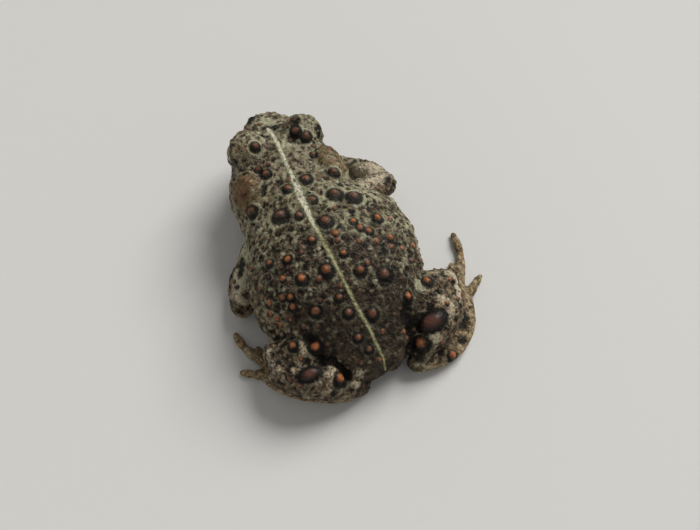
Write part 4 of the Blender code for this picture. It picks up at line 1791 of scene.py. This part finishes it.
@dataclass(frozen=True)
class GrainEffect:
    """A group of fine speckle and pits, used by the skin, the eyes and the floor."""

    name: str = "fine grain"

    def group(self) -> bpy.types.NodeTree:
        """The node group, built once.

        Returns:
            The group.
        """
        made = bpy.data.node_groups.get(self.name)
        if made:
            return made
        made = bpy.data.node_groups.new(self.name, "ShaderNodeTree")
        for name, way, kind in (
            ("Place", "INPUT", "NodeSocketVector"),
            ("Size", "INPUT", "NodeSocketFloat"),
            ("Speckle", "OUTPUT", "NodeSocketFloat"),
            ("Pits", "OUTPUT", "NodeSocketFloat"),
        ):
            made.interface.new_socket(name, in_out=way, socket_type=kind)
        painter = Painter(made)
        given = painter.put("NodeGroupInput").outputs
        noise = painter.put(
            "ShaderNodeTexNoise", Vector=given["Place"], Scale=given["Size"], Detail=4.0
        )
        pits = painter.put("ShaderNodeTexVoronoi", Vector=given["Place"], Scale=given["Size"])
        result = painter.put("NodeGroupOutput")
        painter.feed(result.inputs["Speckle"], noise.outputs["Fac"])
        painter.feed(result.inputs["Pits"], pits.outputs["Distance"])
        return made

    def lay(self, painter: Painter, place: Socket, size: float) -> bpy.types.Node:
        """Puts the group into a material with its own grain size.

        Args:
            painter: The painter of the material.
            place: Where it is read.
            size: Grains for each millimetre.

        Returns:
            The group's node.
        """
        node = painter.tree.nodes.new("ShaderNodeGroup")
        node.node_tree = self.group()
        painter.feed(node.inputs["Place"], place)
        painter.feed(node.inputs["Size"], size)
        return node


@dataclass
class SkinFields:
    """The noises and masks that several layers of the skin's paint share."""

    p: Painter
    place: Socket
    warped: Socket
    speckle: Socket
    pits: Socket
    blotch: Socket
    mottle: Socket
    fray: Socket

    @classmethod
    def laid(cls, p: Painter) -> SkinFields:
        """Lays the shared noises.

        Args:
            p: The painter of the skin's material.

        Returns:
            The sockets that carry them.
        """
        place = p.place()
        drift = p.put("ShaderNodeTexNoise", Vector=place, Scale=0.8, Detail=2.0)
        moved = p.put("ShaderNodeVectorMath")
        moved.operation = "ADD"
        p.feed(moved.inputs[0], place)
        p.feed(moved.inputs[1], drift.outputs["Color"])
        grain = GrainEffect().lay(p, place, 1.7)
        return cls(
            p=p,
            place=place,
            warped=moved.outputs["Vector"],
            speckle=grain.outputs["Speckle"],
            pits=grain.outputs["Pits"],
            blotch=p.noise(place, 0.16, 3.0),
            mottle=p.noise(place, 0.7, 4.0, 0.6),
            fray=p.maths("SUBTRACT", p.noise(place, 1.3, 3.0, 0.6), 0.5),
        )

    def frayed(self, name: str, amount: float) -> Socket:
        """A mask of the mesh with noise added, which moves its edge by up to half the amount."""
        return self.p.maths("ADD", self.p.mask(name), self.p.times(self.fray, amount))

    def patch(self, name: str, strength: float) -> Socket:
        """The share of the patches of one kind, of a given strength in their middle."""
        return self.p.times(self.p.step(self.frayed(name, 1.1), 0.28, 0.72), strength)

    def calm(self) -> Socket:
        """Where the skin keeps few dark specks: patches, neck glands, paws and head.

        Returns:
            The share, from 0 to 1.
        """
        quiet = self.p.maths("MAXIMUM", self.patch("pale", 0.9), self.patch("rust", 0.7))
        for name, strength in (("parotoid", 0.5), ("paw", 0.4), ("front", 0.2)):
            quiet = self.p.maths("MAXIMUM", quiet, self.p.times(self.p.mask(name), strength))
        return quiet


@dataclass(frozen=True)
class SkinPaint:
    """Dry, warty, mottled skin."""

    # Dark ground of the mottle, also the colour of the painted shade on the flanks and hind end.
    ground_dark_and_shade: Colour = (0.022, 0.016, 0.010)
    ground: Colour = (0.150, 0.122, 0.062)
    ground_rear: Colour = (0.074, 0.047, 0.030)
    front: Colour = (0.265, 0.215, 0.142)
    net: Colour = (0.395, 0.385, 0.255)
    umber: Colour = (0.118, 0.070, 0.040)
    # Used for dark marks and for painted shade in creases, crevices, nostrils and lids.
    black: Colour = (0.006, 0.005, 0.004)
    tip_brown: Colour = (0.140, 0.064, 0.039)
    tip_orange: Colour = (0.42, 0.140, 0.043)
    stripe: Colour = (0.58, 0.55, 0.43)
    stripe_rear: Colour = (0.36, 0.34, 0.19)
    stripe_edge: Colour = (0.20, 0.21, 0.10)
    limb: Colour = (0.220, 0.152, 0.085)
    limb_pale: Colour = (0.50, 0.435, 0.31)
    limb_tip: Colour = (0.34, 0.275, 0.19)
    paw: Colour = (0.230, 0.155, 0.076)
    paw_pale: Colour = (0.47, 0.35, 0.18)
    belly: Colour = (0.46, 0.40, 0.29)
    rust: Colour = (0.180, 0.072, 0.032)
    parotoid: Colour = (0.150, 0.115, 0.050)
    gland: Colour = (0.095, 0.042, 0.030)
    roughness: float = 0.62
    specular: float = 0.12
    coat: float = 0.12
    coat_roughness: float = 0.35
    # Cells of the wide net, for each millimetre, and the depth of the finest relief.
    net_scale: float = 0.40
    relief_depth: float = 0.3

    def material(self) -> bpy.types.Material:
        """The skin's material, from the masks and layers of noise.

        Returns:
            The material.
        """
        material, p = blank_material("toad skin")
        fields = SkinFields.laid(p)
        colour = self.ground_layers(fields)
        colour = self.cell_layers(fields, colour)
        colour = self.dark_marks(fields, colour)
        colour = self.stripe_layers(fields, colour)
        tip = fields.frayed("wart", 0.25)
        colour = self.tips(fields, colour, tip)
        smooth = p.maths("MAXIMUM", p.step(tip, 1.1, 0.6), p.step(p.mask("gland"), 1.1, 0.7))
        shine = p.step(p.noise(fields.place, 1.1, 3.0), 0.35, 0.7)
        rough = p.maths("ADD", p.times(shine, 0.2), self.roughness - 0.1)
        rough = p.maths("SUBTRACT", rough, p.times(smooth, 0.2))
        shader = p.put("ShaderNodeBsdfPrincipled", Base_Color=colour, Roughness=rough)
        shader.inputs["Specular IOR Level"].default_value = self.specular
        shader.inputs["Coat Roughness"].default_value = self.coat_roughness
        p.feed(shader.inputs["Coat Weight"], p.times(smooth, self.coat))
        p.feed(shader.inputs["Normal"], self.relief(fields, smooth))
        p.finish(shader)
        return material

    def ground_layers(self, fields: SkinFields) -> Socket:
        """The soft ground colours of the back, head, limbs, flanks, paws and belly.

        Args:
            fields: The shared noises.

        Returns:
            The colour so far.
        """
        p = fields.p
        limb, flank = p.mask("limb"), p.mask("flank")
        colour = p.blend(p.mask("front"), self.ground, self.front)
        colour = p.blend(p.mask("rear"), colour, self.ground_rear)
        brown = p.step(p.noise(fields.place, 0.30, 3.0), 0.47, 0.60)
        colour = p.blend(p.times(brown, 0.65), colour, self.umber)
        colour = p.blend(p.step(fields.mottle, 0.60, 0.34), colour, self.ground_dark_and_shade)
        tan = p.blend(p.step(fields.mottle, 0.36, 0.66), self.ground_dark_and_shade, self.limb)
        colour = p.blend(limb, colour, tan)
        colour = p.blend(p.times(flank, 0.6), colour, self.limb)
        # Dark upright streaks on the flanks: painted shade in their wrinkles.
        tall = p.put("ShaderNodeMapping", Vector=fields.place, Scale=(0.7, 1.1, 0.2))
        streak = p.step(p.noise(tall.outputs["Vector"], 1.0, 3.0), 0.54, 0.36)
        colour = p.blend(p.times(p.times(flank, streak), 0.85), colour, self.ground_dark_and_shade)
        tint = p.blend(p.step(p.noise(fields.place, 0.5, 3.0), 0.50, 0.64), self.parotoid, self.rust)
        tint = p.blend(p.step(fields.mottle, 0.50, 0.32), tint, self.ground_dark_and_shade)
        colour = p.blend(p.times(p.mask("parotoid"), 0.85), colour, tint)
        colour = p.blend(fields.patch("pale", 0.85), colour, p.blend(limb, self.net, self.limb_pale))
        colour = p.blend(fields.patch("rust", 0.65), colour, self.rust)
        claw = p.blend(p.step(fields.mottle, 0.30, 0.50), self.ground_dark_and_shade, self.paw)
        claw = p.blend(p.step(fields.speckle, 0.46, 0.62), claw, self.paw_pale)
        colour = p.blend(p.times(p.mask("paw"), 0.85), colour, claw)
        return p.blend(p.step(fields.frayed("belly", 0.8), 0.3, 0.9), colour, self.belly)

    def cell_layers(self, fields: SkinFields, colour: Socket) -> Socket:
        """The pale net, the dark pits in its cells, the unlike grains and the painted shade over the
        hind end.

        The same packed grains shape the skin: two in five of them are dark pits, light
        lines run along their borders, and the rest keep the ground colour or are pale.

        Args:
            fields: The shared noises.
            colour: The colour so far.

        Returns:
            The colour with the cells over it.
        """
        p = fields.p
        limb, rear, calm = p.mask("limb"), p.mask("rear"), fields.calm()
        loud = p.spared(calm)
        light = p.blend(limb, self.net, self.limb_pale)
        tone, gap = p.mask("grain_tone"), fields.frayed("grain_gap", 0.3)
        few = p.maths("SUBTRACT", 0.4, p.times(limb, 0.2))
        colour = p.blend(p.times(p.step(tone, 0.72, 0.86), few), colour, light)
        border = p.times(p.step(gap, 0.24, 0.04), p.step(fields.speckle, 0.42, 0.60))
        wide = p.step(p.cells(fields.warped, self.net_scale, "DISTANCE_TO_EDGE"), 0.13, 0.03)
        net = p.maths("MAXIMUM", p.times(wide, 0.7), p.times(border, 0.5))
        net = p.times(net, p.step(fields.blotch, 0.30, 0.60))
        faded = p.spared(p.times(p.maths("MAXIMUM", rear, limb), 0.55))
        for name, strength in (("parotoid", 0.6), ("front", 0.35)):
            faded = p.times(faded, p.spared(p.times(p.mask(name), strength)))
        colour = p.blend(p.times(net, faded), colour, light)
        pit = p.times(p.step(gap, 0.06, 0.36), p.step(tone, 0.48, 0.38))
        hole = p.step(p.cells(fields.warped, self.net_scale, "F1"), 0.48, 0.26)
        hole = p.times(hole, p.step(fields.mottle, 0.66, 0.48))
        dots = p.maths("MAXIMUM", p.times(pit, 0.9), hole)
        colour = p.blend(p.times(p.times(dots, loud), 0.92), colour, self.black)
        line = p.step(fields.frayed("grain_gap", 0.5), 0.18, 0.04)
        line = p.times(line, p.maths("MAXIMUM", limb, rear))
        colour = p.blend(p.times(p.times(line, loud), 0.6), colour, self.black)
        # Painted shade darkens the hind end, less on the pale patches.
        painted_rump_shade = p.times(p.mask("shaded_rump"), p.maths("SUBTRACT", 0.75, fields.patch("pale", 0.75)))
        return p.blend(painted_rump_shade, colour, self.ground_dark_and_shade)

    def dark_marks(self, fields: SkinFields, colour: Socket) -> Socket:
        """Dark rings round warts, dark patches (some painted shade in crevices), dark leg glands.

        Args:
            fields: The shared noises.
            colour: The colour so far.

        Returns:
            The colour with the marks over it.
        """
        p = fields.p
        ring = fields.frayed("ring", 0.6)
        faded = p.spared(p.times(p.mask("rear"), 0.8))
        rim = p.times(p.step(ring, 1.95, 1.65), p.times(p.step(fields.blotch, 0.35, 0.75), faded))
        colour = p.blend(rim, colour, self.net)
        colour = p.blend(p.times(p.step(ring, 1.6, 1.15), 0.95), colour, self.black)
        colour = p.blend(fields.patch("black", 0.95), colour, self.black)
        gland = fields.frayed("gland", 0.5)
        colour = p.blend(p.step(gland, 1.4, 1.0), colour, self.black)
        return p.blend(p.step(gland, 0.85, 0.15), colour, self.gland)

    def stripe_layers(self, fields: SkinFields, colour: Socket) -> Socket:
        """The pale stripe down the back with its greenish edge.

        Args:
            fields: The shared noises.
            colour: The colour so far.

        Returns:
            The colour with the stripe over it.
        """
        p = fields.p
        stripe = fields.frayed("stripe", 1.5)
        colour = p.blend(p.times(p.step(stripe, 2.5, 1.6), 0.4), colour, self.stripe_edge)
        line = p.blend(p.mask("rear"), self.stripe, self.stripe_rear)
        line = p.blend(p.step(fields.speckle, 0.46, 0.34), line, self.stripe_edge)
        return p.blend(p.step(stripe, 1.35, 0.65), colour, line)

    def tips(self, fields: SkinFields, colour: Socket, tip: Socket) -> Socket:
        """Warts' brown, orange or pale tips; painted shade in creases, mouth, nostrils and lids.

        Args:
            fields: The shared noises.
            colour: The colour so far.
            tip: Distance from a wart's lit middle over its radius, frayed.

        Returns:
            The finished colour.
        """
        p = fields.p
        # Pale tips take the ground colour under the painted shade of the hind end.
        light = p.blend(p.mask("shaded_rump"), self.net, self.ground)
        light = p.blend(p.mask("limb"), light, self.limb_tip)
        paint = p.blend(p.step(p.mask("tone"), 0.0, 1.0), self.tip_brown, self.tip_orange)
        paint = p.blend(p.step(p.mask("tone"), -0.2, -0.5), paint, light)
        paint = p.blend(p.times(p.step(fields.speckle, 0.5, 0.34), 0.6), paint, self.ground_dark_and_shade)
        strength = p.spared(p.times(p.step(p.mask("tone"), 0.0, -0.5), 0.35))
        colour = p.blend(p.times(p.step(tip, 0.98, 0.2), strength), colour, paint)
        # Painted shade in the skin's creases.
        colour = p.blend(p.times(p.mask("crease_shade"), 0.8), colour, self.black)
        # Painted shade in the mouth's groove and the nostrils.
        colour = p.blend(p.mask("pit"), colour, self.black)
        # Painted shade along the lids' edges.
        return p.blend(p.times(p.mask("lid"), 0.6), colour, self.black)

    def relief(self, fields: SkinFields, smooth: Socket) -> Socket:
        """The finest relief: small pits, grain and the net, weaker on the warts' tips.

        Args:
            fields: The shared noises.
            smooth: Share of a wart's tip or a gland.

        Returns:
            The bent normal.
        """
        p = fields.p
        dome = p.step(p.cells(fields.place, 1.05, "F1"), 0.6, 0.1)
        height = p.maths("ADD", p.times(fields.pits, -0.5), fields.speckle)
        height = p.maths("ADD", height, p.times(dome, 0.6))
        height = p.times(height, p.spared(p.times(smooth, 0.65)))
        bump = p.put("ShaderNodeBump", Height=height, Strength=0.9, Distance=self.relief_depth * MM)
        return bump.outputs["Normal"]


@dataclass(frozen=True)
class EyePaint:
    """A wet dark-gold iris with a level pupil."""

    iris: Colour = (0.34, 0.19, 0.045)
    fleck: Colour = (0.010, 0.007, 0.004)
    rim: Colour = (0.60, 0.44, 0.15)
    pupil: Colour = (0.002, 0.002, 0.002)
    white: Colour = (0.012, 0.009, 0.007)

    def material(self) -> bpy.types.Material:
        """The eye's material, drawn by the masks of its iris and pupil.

        Returns:
            The material.
        """
        material, p = blank_material("toad eye")
        grain = GrainEffect().lay(p, p.place(), 3.5)
        speckle = grain.outputs["Speckle"]
        gold = p.times(p.step(speckle, 0.46, 0.62), p.step(p.mask("iris"), 1.0, 0.6))
        colour = p.blend(gold, self.fleck, self.iris)
        pupil = p.mask("pupil")
        colour = p.blend(p.step(pupil, 1.22, 1.1), colour, self.rim)
        colour = p.blend(p.step(pupil, 1.04, 0.98), colour, self.pupil)
        colour = p.blend(p.step(p.mask("iris"), 0.95, 1.05), colour, self.white)
        shader = p.put("ShaderNodeBsdfPrincipled", Base_Color=colour, Roughness=0.1)
        shader.inputs["IOR"].default_value = 1.38
        p.finish(shader)
        return material


@dataclass
class ToadEye:
    """An eyeball with a low cornea."""

    side: Side
    body: BodyForm = field(default_factory=BodyForm)
    head: HeadForm = field(default_factory=HeadForm)
    pupil_half: tuple[float, float] = (1.75, 0.95)
    iris_radius: float = 3.0
    cornea_height: float = 0.12
    cornea_width: float = 0.7

    def make(self, paint: EyePaint, shift: Points) -> bpy.types.Object:
        """Builds the eyeball about its gaze.

        The radius is the eyeball's, with a Gaussian rise for the cornea about the gaze. The
        masks are elliptical distances from the gaze, across and up.

        Args:
            paint: The eye's finish.
            shift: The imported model's offset from this file's frame.

        Returns:
            The eyeball.
        """
        gaze, ahead, up = eye_axes(self.side)
        ball = self.head.eye_radius
        down, local = sphere(66, 81)
        radius = ball + self.cornea_height * bell(down, self.cornea_width)
        axes = np.array([self.side.value * ahead, up, gaze])
        centre = self.head.at(self.body, self.head.eye, self.side)
        rings = (local * radius[..., None]) @ axes + centre
        front = centre + gaze * (ball + self.cornea_height)
        surface = Surface.from_rings(rings, front, centre - gaze * ball)
        away = surface.points - centre
        level = np.stack([away @ ahead, away @ up])
        behind = FAR * (away @ gaze < 0)
        masks = {
            "pupil": np.hypot(level[0] / self.pupil_half[0], level[1] / self.pupil_half[1]) + behind,
            "iris": np.hypot(*level) / self.iris_radius + behind,
        }
        data = surface.mesh(f"eyeball_{self.side.label}", shift)
        dress(data, masks, paint.material())
        log.info("eye %s: %d faces", self.side.label, len(data.polygons))
        return new_piece(f"eyeball_{self.side.label}", data)


# The studio


@dataclass(frozen=True)
class FloorPaint:
    """A plain pale floor."""

    colour: Colour = (0.62, 0.62, 0.61)

    def material(self) -> bpy.types.Material:
        """A pale matt finish with a faint grain.

        Returns:
            The material.
        """
        material, p = blank_material("pale floor")
        speckle = GrainEffect().lay(p, p.place(), 0.4).outputs["Speckle"]
        bump = p.put("ShaderNodeBump", Height=speckle, Strength=0.1, Distance=0.1 * MM)
        shader = p.put("ShaderNodeBsdfPrincipled", Roughness=0.7, Normal=bump.outputs["Normal"])
        shader.inputs["Base Color"].default_value = (*self.colour, 1.0)
        p.finish(shader)
        return material


@dataclass
class Studio:
    """The floor, the lights and the camera."""

    # The camera's turn about the toad from its front, its height and its distance.
    azimuth: float = 156.0
    elevation: float = 60.0
    distance: float = 249.0
    # The point that the camera stands off from, and how far it lies from the view's middle.
    aim: Row = (0.0, 0.0, 13.0)
    offset: tuple[float, float] = (-8.0, 7.0)
    # Focal length and width of the picture, in pixels.
    focal: float = 961.0
    image_width: int = 700
    sensor: float = 36.0
    floor_half: float = 4000.0
    floor_drop: float = 0.02
    floor_cells: int = 64
    backdrop: float = 1500.0
    # The sky's brightest part: where it is, how wide it looks, its strength and colour.
    sun_from: Row = (-0.82, -0.40, 0.82)
    sun_width: float = 36.0
    sun_strength: float = 3.1
    sun_colour: Colour = (1.0, 0.985, 0.95)
    sky_strength: float = 0.28
    sky_colour: Colour = (1.0, 0.99, 0.97)

    def camera(self, shift: Points) -> bpy.types.Object:
        """Places the camera where the photograph was taken from.

        Args:
            shift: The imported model's offset from this file's frame.

        Returns:
            The camera.
        """
        a, e = math.radians(self.azimuth), math.radians(self.elevation)
        back = Vector((math.sin(a) * math.cos(e), -math.cos(a) * math.cos(e), math.sin(e)))
        right = Vector((math.cos(a), math.sin(a), 0.0))
        up = back.cross(right)
        place = Vector(self.aim) + back * self.distance - right * self.offset[0] - up * self.offset[1]
        data = bpy.data.cameras.new("camera")
        data.sensor_width = self.sensor
        data.lens = self.focal * self.sensor / self.image_width
        data.clip_start = 0.01
        made = new_piece("camera", data)
        turn = Matrix((right, up, back)).transposed().to_4x4()
        made.matrix_world = Matrix.Translation((place + Vector(shift)) * MM) @ turn
        bpy.context.scene.camera = made
        return made

    def light(self) -> None:
        """Adds an even soft light from one side, like an overcast part of the sky."""
        data = bpy.data.lights.new("sky_far", "SUN")
        data.angle = math.radians(self.sun_width)
        data.energy = self.sun_strength
        data.color = self.sun_colour
        made = new_piece("sky_far", data)
        made.rotation_euler = (-Vector(self.sun_from)).to_track_quat("-Z", "Y").to_euler()

    def sky(self) -> None:
        """Gives the scene an even pale sky."""
        world = bpy.data.worlds.new("soft sky")
        world.use_nodes = True
        background = world.node_tree.nodes["Background"]
        background.inputs["Color"].default_value = (*self.sky_colour, 1.0)
        background.inputs["Strength"].default_value = self.sky_strength
        bpy.context.scene.world = world

    def floor(self) -> bpy.types.Object:
        """A wide floor just under the toad, which turns up into a backdrop far away.

        On a square grid the level is the backdrop's height times a smoothstep of the
        distance from the toad.

        Returns:
            The floor.
        """
        wide = self.floor_cells + 1
        line = np.linspace(-self.floor_half, self.floor_half, wide)
        x, y = np.meshgrid(line, line, indexing="ij")
        level = self.backdrop * smoothstep(0.5 * self.floor_half, self.floor_half, np.hypot(x, y))
        cells = np.arange(self.floor_cells)
        corner = (cells[:, None] * wide + cells).ravel()
        faces = np.stack([corner, corner + wide, corner + wide + 1, corner + 1], axis=-1)
        points = np.stack([x, y, level], axis=-1).reshape(-1, 3)
        surface = Surface(points, faces.astype(np.int32))
        data = surface.mesh("floor", np.array([0.0, 0.0, -self.floor_drop]))
        dress(data, {}, FloorPaint().material())
        return new_piece("floor", data)

    def make(self, shift: Points) -> None:
        """Builds the whole studio.

        Args:
            shift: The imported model's offset from this file's frame.
        """
        self.camera(shift)
        self.floor()
        self.light()
        self.sky()
        bpy.context.scene.view_settings.view_transform = "Standard"
        log.info("studio: floor, light and camera")


def main() -> None:
    """Builds the toad and its studio."""
    logging.basicConfig(level=logging.INFO, format="%(name)s: %(message)s")
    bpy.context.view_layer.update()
    toad = ToadSkin()
    skin = toad.make(SkinPaint())
    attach(skin, "root")
    flesh = ["head", "torso"]
    flesh += [form.name for form in (*LIMBS, *PAWS)]
    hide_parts(*flesh)
    for side in Side:
        eye = ToadEye(side).make(EyePaint(), toad.shift())
        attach(eye, "root")
        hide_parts(f"eye_{side.label}")
    Studio().make(toad.shift())


if __name__ == "__main__":
    main()
